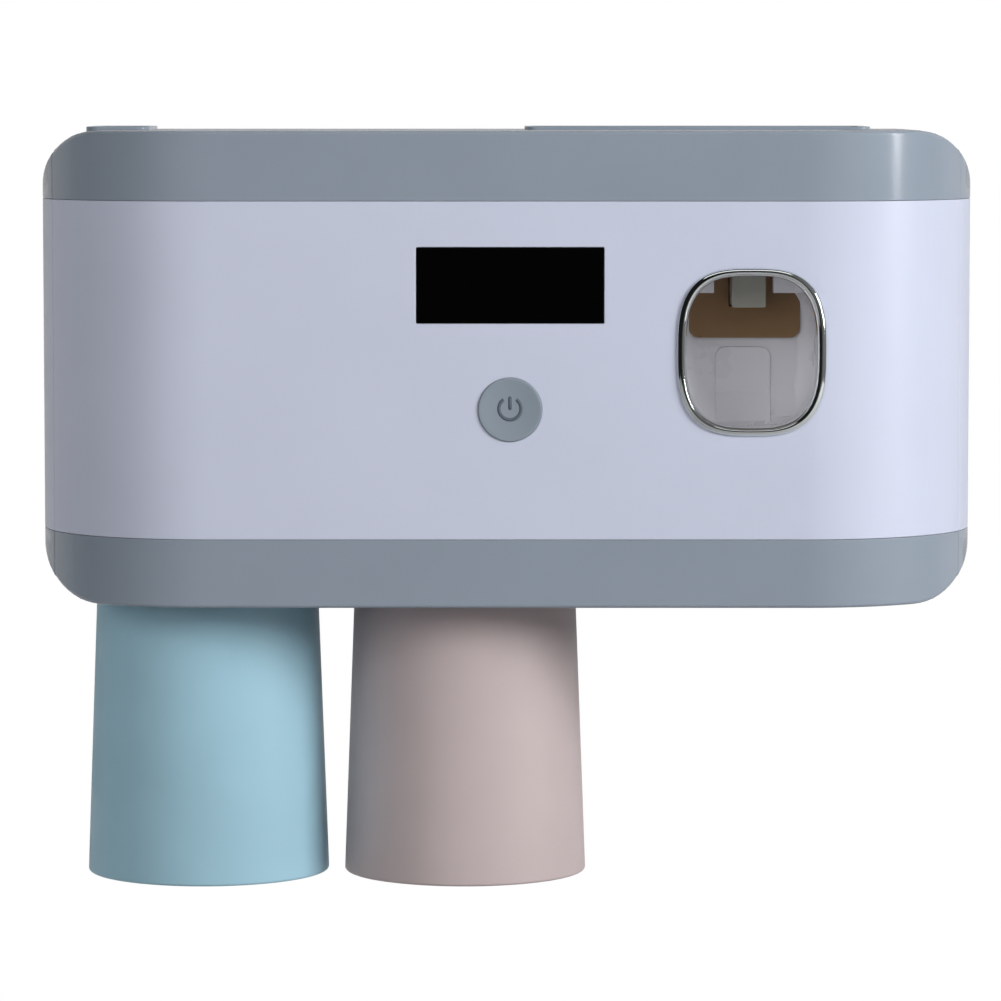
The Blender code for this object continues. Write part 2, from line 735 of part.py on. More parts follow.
def notch(centre_x, width, low_z, high_z):
    """A slot with a round end, open at the front, that a brush handle hangs in."""
    half = width / 2
    end_y = PARTING_Y + NOTCH_DEPTH - half
    outline = [(centre_x - half, PARTING_Y - OVERRUN)]
    outline += arc((centre_x, end_y), half, 180, 0, SMALL_STEPS * 2)
    outline.append((centre_x + half, PARTING_Y - OVERRUN))
    return prism("notch", outline, "Z", low_z, high_z)


def make_base_cap():
    cap = bottom_band("base_cap", REAR_HALF_Y)
    for centre_x in NOTCH_XS:
        cut(cap, notch(centre_x, NOTCH_WIDTH, BOTTOM_Z - OVERRUN, FLOOR_Z + OVERRUN))
    for centre_x in CUP_X:
        low = (centre_x, CUP_Y, BOTTOM_Z + MAGNET_FLOOR)
        pocket = rod("pocket", MAGNET_RADIUS + FIT_GAP, low, (centre_x, CUP_Y, FLOOR_Z + OVERRUN))
        cut(cap, pocket)
    for centre_x in CATCH_X:
        join(cap, catch_block(centre_x, PARTING_Y, PARTING_Y + CATCH_BLOCK_DEPTH))
        depth = CATCH_PLATE_LENGTH + FIT_GAP
        cut(cap, catch_pocket(centre_x, PARTING_Y - OVERRUN, PARTING_Y + depth))
    for centre_x in (-BACK_SCREW_X, BACK_SCREW_X):
        add_back_boss(cap, centre_x, BOTTOM_SEAM_Z + BACK_SCREW_INSET)
    return cap


CATCH_Z = FLOOR_Z + CATCH_BLOCK / 2


def catch_block(centre_x, low_y, high_y):
    half = CATCH_BLOCK / 2
    low = (centre_x - half, low_y, FLOOR_Z - LIP_THICKNESS)
    return box("catch_block", low, (centre_x + half, high_y, FLOOR_Z + CATCH_BLOCK))


def catch_pocket(centre_x, low_y, high_y):
    start = (centre_x, low_y, CATCH_Z)
    return rod("catch_pocket", CATCH_RADIUS + FIT_GAP, start, (centre_x, high_y, CATCH_Z))


def make_door_bottom_band():
    band = bottom_band("door_bottom_band", COVER_Y)
    edge = PARTING_Y - SEAM_GAP
    for centre_x in CATCH_X:
        join(band, catch_block(centre_x, edge - CATCH_BLOCK_DEPTH, edge))
        depth = CATCH_MAGNET_LENGTH + FIT_GAP
        cut(band, catch_pocket(centre_x, edge - depth, edge + OVERRUN))
    add_socket_sleeve(band)
    return cut(band, lamp_relief())


def lamp_relief():
    """Room for the lamp and its lead where a low housing brings the band's lip up to them."""
    half = LAMP_BOARD_HEIGHT / 2 + LAMP_COVER_WALL + 2 * FIT_GAP
    left = LAMP_LEAD_X - LEAD_RADIUS - FIT_GAP
    right = LAMP_X[1] + LAMP_COVER_WALL + 2 * FIT_GAP
    low = (left, PANEL_REAR_Y, LAMP_Z - half)
    high = (right, PANEL_REAR_Y + LAMP_COVER_DEPTH + OVERRUN, LAMP_Z + half)
    return box("lamp_relief", low, high)


SOCKET_Y = FRONT_Y + SOCKET_FRONT_INSET
SOCKET_LOW_Z = BOTTOM_Z + FIT_GAP
SOCKET_HIGH_Z = SOCKET_LOW_Z + SOCKET_LENGTH


def socket_box(name, margin, low_z, high_z):
    across = SOCKET_WIDTH / 2 + margin
    deep = SOCKET_THICKNESS / 2 + margin
    low = (SOCKET_X - across, SOCKET_Y - deep, low_z)
    return box(name, low, (SOCKET_X + across, SOCKET_Y + deep, high_z))


def add_socket_sleeve(band):
    """A square sleeve on the floor of the cover, which the charging socket fills."""
    outer = FIT_GAP + SOCKET_SLEEVE_WALL
    join(band, socket_box("sleeve", outer, FLOOR_Z - LIP_THICKNESS, SOCKET_HIGH_Z))
    cut(band, socket_box("hole", FIT_GAP, BOTTOM_Z - OVERRUN, SOCKET_HIGH_Z + OVERRUN))


def make_usb_socket():
    socket = socket_box("usb_socket", 0, SOCKET_LOW_Z, SOCKET_HIGH_Z)
    mouth = socket_box("mouth", -SOCKET_WALL, SOCKET_LOW_Z - OVERRUN, SOCKET_HIGH_Z - SOCKET_WALL)
    cut(socket, mouth)
    tongue = socket_box(
        "tongue", -SOCKET_THICKNESS * TONGUE_SHARE, SOCKET_LOW_Z + SOCKET_WALL, SOCKET_HIGH_Z
    )
    return join(socket, tongue)


TONGUE_SHARE = 0.36


def make_front_panel():
    panel = housing_shell("front_panel", WALL, COVER_Y, MIDDLE_Z)
    front = FRONT_Y - OVERRUN
    rear = PANEL_REAR_Y + OVERRUN
    wide = DISPLAY_WIDTH / 2 + FIT_GAP
    tall = DISPLAY_HEIGHT / 2 + FIT_GAP
    low = (DISPLAY_X - wide, front, DISPLAY_Z - tall)
    cut(panel, box("display_hole", low, (DISPLAY_X + wide, rear, DISPLAY_Z + tall)))
    button = BUTTON_RADIUS + FIT_GAP
    start = (DISPLAY_X, front, BUTTON_Z)
    cut(panel, rod("button_hole", button, start, (DISPLAY_X, rear, BUTTON_Z)))
    around = 2 * (COLLAR_WALL + FIT_GAP)
    hole = window_outline(OPENING_WIDTH + around, OPENING_HEIGHT + around)
    cut(panel, prism("window_hole", hole, "Y", front, rear))
    for centre_x, centre_z in CASE_SCREW_PLACES:
        start = (centre_x, FRONT_Y + WALL / 2, centre_z)
        end = (centre_x, CASE_BOSS_END_Y, centre_z)
        join(panel, rod("case_boss", CASE_BOSS_RADIUS, start, end))
        bore = CASE_SCREW_RADIUS + FIT_GAP
        start = (centre_x, PANEL_REAR_Y, centre_z)
        end = (centre_x, CASE_BOSS_END_Y + OVERRUN, centre_z)
        cut(panel, rod("case_bore", bore, start, end, BORE_STEPS))
    return panel


def make_bezel_ring():
    flange_front = FRONT_Y - RING_PROUD
    flange_rear = FRONT_Y - FIT_GAP
    ring = prism("bezel_ring", window_outline(RING_WIDTH, RING_HEIGHT), "Y", flange_front, flange_rear)
    around = 2 * COLLAR_WALL
    outer = window_outline(OPENING_WIDTH + around, OPENING_HEIGHT + around)
    collar_rear = PANEL_REAR_Y + COLLAR_LENGTH
    join(ring, prism("collar", outer, "Y", flange_front + RING_FLANGE / 2, collar_rear))
    inner = window_outline(OPENING_WIDTH, OPENING_HEIGHT)
    return cut(ring, prism("bore", inner, "Y", flange_front - OVERRUN, collar_rear + OVERRUN))


def make_rear_housing():
    housing = housing_shell("rear_housing", WALL, REAR_HALF_Y, MIDDLE_Z)
    half = PARTITION_THICKNESS / 2
    lap = LIP_REACH + FIT_GAP
    low = (PARTITION_X - half, PARTING_Y, MIDDLE_Z[0] + lap)
    high = (PARTITION_X + half, REAR_Y - WALL / 2, MIDDLE_Z[1] - lap)
    join(housing, box("partition", low, high))
    for centre_x in (-HOOK_SPACING / 2, HOOK_SPACING / 2):
        cut(housing, hook_slot(centre_x))
    for centre_x in (-BACK_SCREW_X, BACK_SCREW_X):
        for centre_z in (TOP_SEAM_Z - BACK_SCREW_INSET, BOTTOM_SEAM_Z + BACK_SCREW_INSET):
            cut(housing, back_screw_hole(centre_x, centre_z))
    for centre_x in DISPENSER_SCREW_XS:
        rear = REAR_Y - WALL / 2
        front = FRAME_REAR + FIT_GAP
        start = (centre_x, front, EAR_Z)
        join(housing, rod("post", DISPENSER_BOSS_RADIUS, start, (centre_x, rear, EAR_Z)))
        bore = DISPENSER_SCREW_RADIUS + FIT_GAP
        start = (centre_x, front - OVERRUN, EAR_Z)
        end = (centre_x, front + DISPENSER_SCREW_LENGTH, EAR_Z)
        cut(housing, rod("post_bore", bore, start, end, BORE_STEPS))
    return housing


DISPENSER_SCREW_XS = (
    FRAME_LEFT - EAR_REACH / 2,
    FRAME_RIGHT + EAR_REACH / 2,
)


def hook_slot(centre_x):
    """A slot in the rear wall, tall enough for a hook's lip when the housing is lifted."""
    half = HOOK_WIDTH / 2 + FIT_GAP
    low = (centre_x - half, REAR_Y - WALL - OVERRUN, HOOK_Z - LIFT - FIT_GAP)
    return box("hook_slot", low, (centre_x + half, REAR_Y + OVERRUN, HOOK_Z + HOOK_NECK + FIT_GAP))


def back_screw_hole(centre_x, centre_z):
    radius = BACK_SCREW_RADIUS + FIT_GAP
    start = (centre_x, REAR_Y - WALL - OVERRUN, centre_z)
    return rod("screw_hole", radius, start, (centre_x, REAR_Y + OVERRUN, centre_z), BORE_STEPS)


def make_wall_bracket():
    half = BRACKET_WIDTH / 2
    tall = BRACKET_HEIGHT / 2
    outline = rounded_outline((-half, -tall), (half, tall), BRACKET_RADIUS)
    bracket = prism("wall_bracket", outline, "Y", PLATE_Y - BRACKET_THICKNESS, PLATE_Y)
    lip_rear = REAR_Y - WALL - FIT_GAP
    lip_front = lip_rear - HOOK_LIP_THICKNESS
    for centre_x in (-HOOK_SPACING / 2, HOOK_SPACING / 2):
        left = centre_x - HOOK_WIDTH / 2
        right = centre_x + HOOK_WIDTH / 2
        top = HOOK_Z + HOOK_NECK
        neck = box("neck", (left, lip_front, HOOK_Z), (right, PLATE_Y - FIT_GAP, top))
        lip = box("lip", (left, lip_front, HOOK_Z), (right, lip_rear, top + HOOK_LIP_HEIGHT))
        join(bracket, join(neck, lip))
    return bracket


def make_adhesive_pad():
    low = (-PAD_WIDTH / 2, -PAD_THICKNESS, -PAD_HEIGHT / 2)
    return box("adhesive_pad", low, (PAD_WIDTH / 2, 0, PAD_HEIGHT / 2))


def screw(name, radius, head_end, direction, length):
    """A pan-head screw: head_end is the middle of the seat under the head."""
    profile = [
        (0, SCREW_HEAD_HEIGHT),
        (SCREW_HEAD_RADIUS * HEAD_TOP_SHARE, SCREW_HEAD_HEIGHT),
        (SCREW_HEAD_RADIUS, SCREW_HEAD_HEIGHT / 2),
        (SCREW_HEAD_RADIUS, 0),
        (radius, 0),
        (radius, radius - length),
        (0, -length),
    ]
    made = turned(name, profile, head_end, direction, BORE_STEPS)
    across = SCREW_HEAD_RADIUS * DRIVE_SHARE
    wide = across * DRIVE_WIDTH_SHARE
    top = SCREW_HEAD_HEIGHT + OVERRUN
    floor = SCREW_HEAD_HEIGHT / 2
    turn = Vector((0, 0, 1)).rotation_difference(Vector(direction)).to_matrix().to_4x4()
    for half_x, half_y in ((across, wide), (wide, across)):
        slot = box("drive", (-half_x, -half_y, floor), (half_x, half_y, top))
        slot.data.transform(Matrix.Translation(head_end) @ turn)
        cut(made, slot)
    return made


HEAD_TOP_SHARE = 0.7
DRIVE_SHARE = 0.62
DRIVE_WIDTH_SHARE = 0.28


def make_back_screws():
    made = []
    places = [
        (side * BACK_SCREW_X, z)
        for z in (TOP_SEAM_Z - BACK_SCREW_INSET, BOTTOM_SEAM_Z + BACK_SCREW_INSET)
        for side in (-1, 1)
    ]
    for index, (centre_x, centre_z) in enumerate(places, 1):
        seat = (centre_x, REAR_Y + FIT_GAP, centre_z)
        made.append(
            screw(f"housing_screw_{index}", BACK_SCREW_RADIUS, seat, (0, 1, 0), BACK_SCREW_LENGTH)
        )
    return made


def make_brush_rack():
    low_z = FLOOR_Z + FIT_GAP
    high_z = low_z + RACK_THICKNESS
    left = NOTCH_XS[0] - NOTCH_WIDTH / 2 - RACK_SIDE_MARGIN
    right = NOTCH_XS[-1] + NOTCH_WIDTH / 2 + RACK_SIDE_MARGIN
    rear = PARTING_Y + NOTCH_DEPTH + RACK_REAR_MARGIN
    rack = box("brush_rack", (left, PARTING_Y, low_z), (right, rear, high_z))
    for centre_x in NOTCH_XS:
        cut(rack, notch(centre_x, RACK_NOTCH_WIDTH, low_z - OVERRUN, high_z + OVERRUN))
    return rack


def make_dock_parts():
    """The magnets over the cups and the clips that hold them down."""
    made = []
    for side, centre_x in zip(("left", "right"), CUP_X):
        low = BOTTOM_Z + MAGNET_FLOOR + FIT_GAP
        start = (centre_x, CUP_Y, low)
        end = (centre_x, CUP_Y, low + MAGNET_HEIGHT)
        made.append(rod(f"dock_magnet_{side}", MAGNET_RADIUS, start, end))
        seat = FLOOR_Z + FIT_GAP
        inner = MAGNET_RADIUS + FIT_GAP
        cap = max(low + MAGNET_HEIGHT, seat) + FIT_GAP
        outer = inner + RETAINER_WALL
        profile = [
            (0, cap + RETAINER_WALL),
            (outer, cap + RETAINER_WALL),
            (outer, seat + RETAINER_WALL),
            (outer + RETAINER_FLANGE, seat + RETAINER_WALL),
            (outer + RETAINER_FLANGE, seat),
            (inner, seat),
            (inner, cap),
            (0, cap),
        ]
        made.append(turned(f"magnet_retainer_{side}", profile, (centre_x, CUP_Y, 0)))
    return made


def make_catch_parts():
    made = []
    edge = PARTING_Y - SEAM_GAP
    for side, centre_x in zip(("left", "right"), CATCH_X):
        start = (centre_x, edge - CATCH_MAGNET_LENGTH, CATCH_Z)
        made.append(rod(f"catch_magnet_{side}", CATCH_RADIUS, start, (centre_x, edge, CATCH_Z)))
        start = (centre_x, PARTING_Y, CATCH_Z)
        end = (centre_x, PARTING_Y + CATCH_PLATE_LENGTH, CATCH_Z)
        made.append(rod(f"catch_plate_{side}", CATCH_RADIUS, start, end))
    return made


def make_hinge_pins():
    made = []
    for side, centre_x in zip(("left", "right"), LUG_XS):
        start = (centre_x - PIN_LENGTH / 2, PARTING_Y, HINGE_Z)
        end = (centre_x + PIN_LENGTH / 2, PARTING_Y, HINGE_Z)
        made.append(rod(f"hinge_pin_{side}", PIN_RADIUS, start, end, BORE_STEPS))
    return made


def make_tube_seat():
    """A funnel in the top that a toothpaste tube stands in, neck down."""
    foot = FRAME_TOP + FIT_GAP
    flange = TOP_Z - TRAY_DEPTH + FIT_GAP
    top = flange + PORT_FLANGE_THICKNESS
    bore_foot = foot + (flange - foot) * FUNNEL_SHARE
    profile = [
        (PORT_RADIUS + PORT_FLANGE, top),
        (PORT_RADIUS + PORT_FLANGE, flange),
        (PORT_RADIUS, flange),
        (PORT_RADIUS, CEILING_Z),
        (SEAT_FOOT_RADIUS, bore_foot),
        (SEAT_FOOT_RADIUS, foot),
        (TUBE_NECK_RADIUS, foot),
        (TUBE_NECK_RADIUS, bore_foot),
        (TUBE_BORE_RADIUS, CEILING_Z + SEAT_WALL),
        (TUBE_BORE_RADIUS, top),
    ]
    return turned("tube_seat", profile, (WINDOW_X, SLEEVE_Y, 0), closed=True)


FUNNEL_SHARE = 0.3


def bay_profile():
    """The dispenser bay seen from the side, with the scoop's curve at the lower back."""
    centre = (BAY_BACK_Y - SCOOP_RADIUS, BAY_FLOOR_Z + SCOOP_RADIUS)
    points = [(FRAME_FRONT_Y - OVERRUN, BAY_FLOOR_Z)]
    points += arc(centre, SCOOP_RADIUS, -90, 0, OUTLINE_STEPS)
    points.append((BAY_BACK_Y, BAY_ROOF_Z + OVERRUN))
    points.append((FRAME_FRONT_Y - OVERRUN, BAY_ROOF_Z + OVERRUN))
    return points


def bay_space():
    front = FRAME_FRONT_Y - OVERRUN
    mouth = prism("bay", window_outline(BAY_WIDTH, BAY_HEIGHT), "Y", front, BAY_BACK_Y + OVERRUN)
    return keep(mouth, prism("side", bay_profile(), "X", FRAME_LEFT, FRAME_RIGHT))


def lever_slot():
    """Room for the lever's paddle behind the scoop, open to the chamber above."""
    half = LEVER_WIDTH / 2 + FIT_GAP
    left = LEVER_X - half
    right = LEVER_X + half
    front = BAY_BACK_Y - LEVER_PROUD - LEVER_BOTTOM_FORWARD - FIT_GAP
    top = LEVER_TOP + FIT_GAP
    low = box("slot", (left, front, LEVER_SLOT_BOTTOM), (right, LEVER_SLOT_REAR, top))
    high = CHAMBER_BOTTOM + OVERRUN
    rear = box("slot_top", (left, CHAMBER_FRONT_Y, LEVER_TOP), (right, LEVER_SLOT_REAR, high))
    return join(low, rear)


def make_dispenser_frame():
    low = (FRAME_LEFT, FRAME_FRONT_Y, FRAME_BOTTOM)
    frame = box("dispenser_frame", low, (FRAME_RIGHT, FRAME_REAR, FRAME_TOP))
    cut(frame, bay_space())
    half = CHAMBER_WIDTH / 2
    low = (LEVER_X - half, CHAMBER_FRONT_Y, CHAMBER_BOTTOM)
    cut(frame, box("chamber", low, (LEVER_X + half, CHAMBER_REAR, CHAMBER_TOP)))
    cut(frame, lever_slot())
    add_frame_ribs(frame)
    add_frame_openings(frame)
    for centre_x in DISPENSER_SCREW_XS:
        add_frame_ear(frame, centre_x)
    return frame


def add_frame_ribs(frame):
    """Two short ribs that hang from the bay's roof beside the nozzle."""
    front = FRONT_Y + RIB_DEPTH
    rear = front + RIB_THICKNESS
    top = BAY_ROOF_Z + OVERRUN
    inside = FRAME_WALL
    low_z = WINDOW_Z + RIB_RISE
    spans = (
        (FRAME_LEFT + inside, WINDOW_X - RIB_LEFT_GAP),
        (WINDOW_X + RIB_RIGHT_GAP, FRAME_RIGHT - inside),
    )
    for left, right in spans:
        join(frame, box("rib", (left, front, low_z), (right, rear, top)))


def add_frame_openings(frame):
    """The shield's opening, the nozzle's groove, the valve's hole and the pin's bore."""
    wide = SHIELD_WIDTH / 2 - SHIELD_LAP
    front = BAY_BACK_Y - OVERRUN
    rear = CHAMBER_FRONT_Y + OVERRUN
    half = min(wide, CHAMBER_WIDTH / 2)
    low = (LEVER_X - half, front, CHAMBER_SILL_Z)
    cut(frame, box("shield_opening", low, (LEVER_X + half, rear, BAY_ROOF_Z)))
    half = NOZZLE_WIDTH / 2 + FIT_GAP
    low = (WINDOW_X - half, FRONT_Y + NOZZLE_DEPTH - FIT_GAP, NOZZLE_BOTTOM)
    groove = box("groove", low, (WINDOW_X + half, CHAMBER_FRONT_Y + OVERRUN, NOZZLE_TOP + FIT_GAP))
    cut(frame, groove)
    radius = VALVE_RADIUS + FIT_GAP
    start = (WINDOW_X, SLEEVE_Y, CHAMBER_TOP - OVERRUN)
    cut(frame, rod("valve_hole", radius, start, (WINDOW_X, SLEEVE_Y, FRAME_TOP + OVERRUN)))
    half = LEVER_PIN_LENGTH / 2 + FIT_GAP
    start = (LEVER_X - half, PIVOT_Y, PIVOT_Z)
    end = (LEVER_X + half, PIVOT_Y, PIVOT_Z)
    cut(frame, rod("pin_bore", LEVER_BORE_RADIUS, start, end, BORE_STEPS))


CHAMBER_SILL_Z = PIVOT_Z + HUB_RADIUS


def add_frame_ear(frame, centre_x):
    """A tab at the frame's side, with a screw hole."""
    half = EAR_REACH / 2
    front = FRAME_REAR - EAR_THICKNESS
    low = (centre_x - half - FRAME_WALL / 2, front, EAR_Z - EAR_HEIGHT / 2)
    high = (centre_x + half + FRAME_WALL / 2, FRAME_REAR, EAR_Z + EAR_HEIGHT / 2)
    join(frame, box("ear", low, high))
    radius = DISPENSER_SCREW_RADIUS + FIT_GAP
    start = (centre_x, front - OVERRUN, EAR_Z)
    cut(frame, rod("ear_hole", radius, start, (centre_x, FRAME_REAR + OVERRUN, EAR_Z), BORE_STEPS))


def make_dispenser_screws():
    made = []
    for index, centre_x in enumerate(DISPENSER_SCREW_XS, 1):
        seat = (centre_x, FRAME_REAR - EAR_THICKNESS - FIT_GAP, EAR_Z)
        name = f"dispenser_screw_{index}"
        made.append(screw(name, DISPENSER_SCREW_RADIUS, seat, (0, -1, 0), DISPENSER_SCREW_LENGTH))
    return made


def make_uv_shield():
    """An amber panel at the back of the bay that keeps stray light from the paste."""
    rear = BAY_BACK_Y - FIT_GAP
    front = rear - SHIELD_THICKNESS
    half = SHIELD_WIDTH / 2
    top = BAY_ROOF_Z + SHIELD_RADIUS
    outline = rounded_outline((SHIELD_X - half, SHIELD_BOTTOM), (SHIELD_X + half, top), SHIELD_RADIUS)
    shield = prism("uv_shield", outline, "Y", front, rear)
    inside = window_outline(BAY_WIDTH - 2 * FIT_GAP, BAY_HEIGHT - 2 * FIT_GAP)
    keep(shield, prism("bay_wall", inside, "Y", front - OVERRUN, rear + OVERRUN))
    half = NOZZLE_WIDTH / 2 + FIT_GAP
    low = (WINDOW_X - half, front - OVERRUN, NOZZLE_BOTTOM - FIT_GAP)
    return cut(shield, box("pass", low, (WINDOW_X + half, rear + OVERRUN, top)))


NOZZLE_REAR_Y = SLEEVE_Y - SLEEVE_RADIUS - FIT_GAP


def make_nozzle():
    """The duct from the pump sleeve to the tab over the brush."""
    front = FRONT_Y + NOZZLE_DEPTH
    low = (WINDOW_X - NOZZLE_WIDTH / 2, front, NOZZLE_BOTTOM)
    nozzle = box("nozzle", low, (WINDOW_X + NOZZLE_WIDTH / 2, NOZZLE_REAR_Y, NOZZLE_TOP))
    middle_z = NOZZLE_DUCT_Z
    bore_y = front + NOZZLE_WIDTH / 2
    start = (WINDOW_X, bore_y, middle_z)
    duct = rod("duct", NOZZLE_BORE_RADIUS, start, (WINDOW_X, NOZZLE_REAR_Y + OVERRUN, middle_z), BORE_STEPS)
    start = (WINDOW_X, bore_y, NOZZLE_BOTTOM - OVERRUN)
    outlet = rod("outlet", NOZZLE_BORE_RADIUS, start, (WINDOW_X, bore_y, middle_z), BORE_STEPS)
    return cut(nozzle, join(duct, outlet))


NOZZLE_DUCT_Z = (NOZZLE_BOTTOM + NOZZLE_TOP) / 2


def make_pump_parts():
    """The silicone sleeve and the valves above and after it."""
    tall = [
        (SLEEVE_RADIUS, SLEEVE_TOP),
        (SLEEVE_RADIUS, SLEEVE_BOTTOM),
        (SLEEVE_BORE_RADIUS, SLEEVE_BOTTOM),
        (SLEEVE_BORE_RADIUS, SLEEVE_TOP),
    ]
    place = (WINDOW_X, SLEEVE_Y, 0)
    sleeve = turned("pump_sleeve", tall, place, closed=True, steps=BORE_STEPS)
    bottom = SLEEVE_TOP + FIT_GAP
    middle = bottom + VALVE_FLANGE
    top = FRAME_TOP
    inlet = [
        (SLEEVE_RADIUS, top),
        (SLEEVE_RADIUS, middle),
        (VALVE_RADIUS, middle),
        (VALVE_RADIUS, bottom),
        (SLEEVE_BORE_RADIUS, bottom),
        (SLEEVE_BORE_RADIUS, top),
    ]
    inlet_valve = turned("inlet_valve", inlet, place, closed=True, steps=BORE_STEPS)
    outer = NOZZLE_BORE_RADIUS - FIT_GAP
    bore_y = FRONT_Y + NOZZLE_DEPTH + NOZZLE_WIDTH / 2
    low = NOZZLE_BOTTOM + FIT_GAP
    outlet = [
        (outer, low + OUTLET_VALVE_LENGTH),
        (outer, low),
        (outer / 2, low),
        (outer / 2, low + OUTLET_VALVE_LENGTH),
    ]
    place = (WINDOW_X, bore_y, 0)
    outlet_valve = turned("outlet_valve", outlet, place, closed=True, steps=BORE_STEPS)
    return [sleeve, inlet_valve, outlet_valve]


def paddle_outline():
    """The paddle seen from the side: upright above, bent forward along the scoop below."""
    front = BAY_BACK_Y - LEVER_PROUD
    rear = front + LEVER_THICKNESS
    foot = front - LEVER_BOTTOM_FORWARD
    return [
        (front, LEVER_TOP),
        (front, LEVER_BEND),
        (foot, LEVER_BOTTOM),
        (foot + LEVER_THICKNESS, LEVER_BOTTOM),
        (rear, LEVER_BEND - LEVER_THICKNESS / 2),
        (rear, LEVER_TOP),
    ]


def make_push_lever():
    half = LEVER_WIDTH / 2
    lever = prism("push_lever", paddle_outline(), "X", LEVER_X - half, LEVER_X + half)
    half = LEVER_WIDTH / 2 - FIT_GAP
    start = (LEVER_X - half, PIVOT_Y, PIVOT_Z)
    hub = rod("hub", HUB_RADIUS, start, (LEVER_X + half, PIVOT_Y, PIVOT_Z))
    join(lever, prism("neck", neck_outline(), "X", LEVER_X - half, LEVER_X + half), hub)
    half = ARM_WIDTH / 2
    join(lever, prism("arm", arm_outline(), "X", WINDOW_X - half, WINDOW_X + half))
    start = (LEVER_X - LEVER_WIDTH, PIVOT_Y, PIVOT_Z)
    end = (LEVER_X + LEVER_WIDTH, PIVOT_Y, PIVOT_Z)
    return cut(lever, rod("bore", LEVER_BORE_RADIUS, start, end, BORE_STEPS))


def neck_outline():
    """The block between the paddle and its hub, seen from the side."""
    front = BAY_BACK_Y - LEVER_PROUD + LEVER_THICKNESS / 2
    middle = PIVOT_Y - HUB_RADIUS / 2
    rear = PIVOT_Y + HUB_RADIUS / 2
    low = PIVOT_Z - HUB_RADIUS - LEVER_THICKNESS
    return [
        (front, low),
        (rear, low),
        (rear, PIVOT_Z),
        (middle, PIVOT_Z),
        (middle, LEVER_TOP),
        (front, LEVER_TOP),
    ]


def arm_outline():
    """The arm behind the shield that squeezes the sleeve as the paddle is pushed."""
    front = SLEEVE_Y + SLEEVE_RADIUS + ARM_GAP
    rear = front + ARM_THICKNESS
    low = PIVOT_Z - HUB_RADIUS / 2
    high = low + ARM_THICKNESS
    return [
        (PIVOT_Y, low),
        (rear, low),
        (rear, ARM_TOP),
        (front, ARM_TOP),
        (front, high),
        (PIVOT_Y, high),
    ]


def make_lever_pin():
    start = (LEVER_X - LEVER_PIN_LENGTH / 2, PIVOT_Y, PIVOT_Z)
    end = (LEVER_X + LEVER_PIN_LENGTH / 2, PIVOT_Y, PIVOT_Z)
    return rod("lever_pin", LEVER_PIN_RADIUS, start, end, BORE_STEPS)


def wire(name, points, radius):
    """A round wire through points, with closed ends."""
    curve = bpy.data.curves.new(name, "CURVE")
    curve.dimensions = "3D"
    curve.bevel_depth = radius
    curve.bevel_resolution = 1
    curve.use_fill_caps = True
    spline = curve.splines.new("POLY")
    spline.points.add(len(points) - 1)
    for point, place in zip(spline.points, points):
        point.co = (*place, 1)
    return new_object(name, curve)


COIL_STEPS = 10


def make_return_spring():
    """A coil between the paddle's back and the rear of its slot."""
    start = BAY_BACK_Y - LEVER_PROUD + LEVER_THICKNESS + FIT_GAP + SPRING_WIRE
    length = LEVER_SLOT_REAR - FIT_GAP - SPRING_WIRE - start
    points = []
    for index in range(SPRING_TURNS * COIL_STEPS + 1):
        share = index / (SPRING_TURNS * COIL_STEPS)
        angle = math.tau * SPRING_TURNS * share
        across = SPRING_RADIUS * math.cos(angle)
        up = SPRING_RADIUS * math.sin(angle)
        points.append((LEVER_X + across, start + length * share, SPRING_Z + up))
    return wire("return_spring", points, SPRING_WIRE)


def make_display_parts():
    wide = DISPLAY_WIDTH / 2
    tall = DISPLAY_HEIGHT / 2
    low = (DISPLAY_X - wide, FRONT_Y, DISPLAY_Z - tall)
    high = (DISPLAY_X + wide, FRONT_Y + LENS_THICKNESS, DISPLAY_Z + tall)
    lens = box("display_lens", low, high)
    wide += MODULE_MARGIN
    tall += MODULE_MARGIN
    low = (DISPLAY_X - wide, MODULE_FRONT_Y, DISPLAY_Z - tall)
    high = (DISPLAY_X + wide, MODULE_FRONT_Y + MODULE_DEPTH, DISPLAY_Z + tall)
    return [lens, box("display_module", low, high)]


def make_power_button():
    front = -BUTTON_PROUD
    flange = WALL + FIT_GAP
    flange_rear = flange + BUTTON_FLANGE_THICKNESS
    profile = [
        (0, -front - BUTTON_EDGE / 4),
        (BUTTON_RADIUS - BUTTON_EDGE * 2, -front),
        (BUTTON_RADIUS - BUTTON_EDGE / 2, -front - BUTTON_EDGE / 4),
        (BUTTON_RADIUS, -front - BUTTON_EDGE),
        (BUTTON_RADIUS, -flange),
        (BUTTON_RADIUS + BUTTON_FLANGE, -flange),
        (BUTTON_RADIUS + BUTTON_FLANGE, -flange_rear),
        (STEM_RADIUS, -flange_rear),
        (STEM_RADIUS, FRONT_Y - STEM_END_Y),
        (0, FRONT_Y - STEM_END_Y),
    ]
    return turned("power_button", profile, (DISPLAY_X, FRONT_Y, BUTTON_Z), (0, -1, 0), CUP_STEPS)


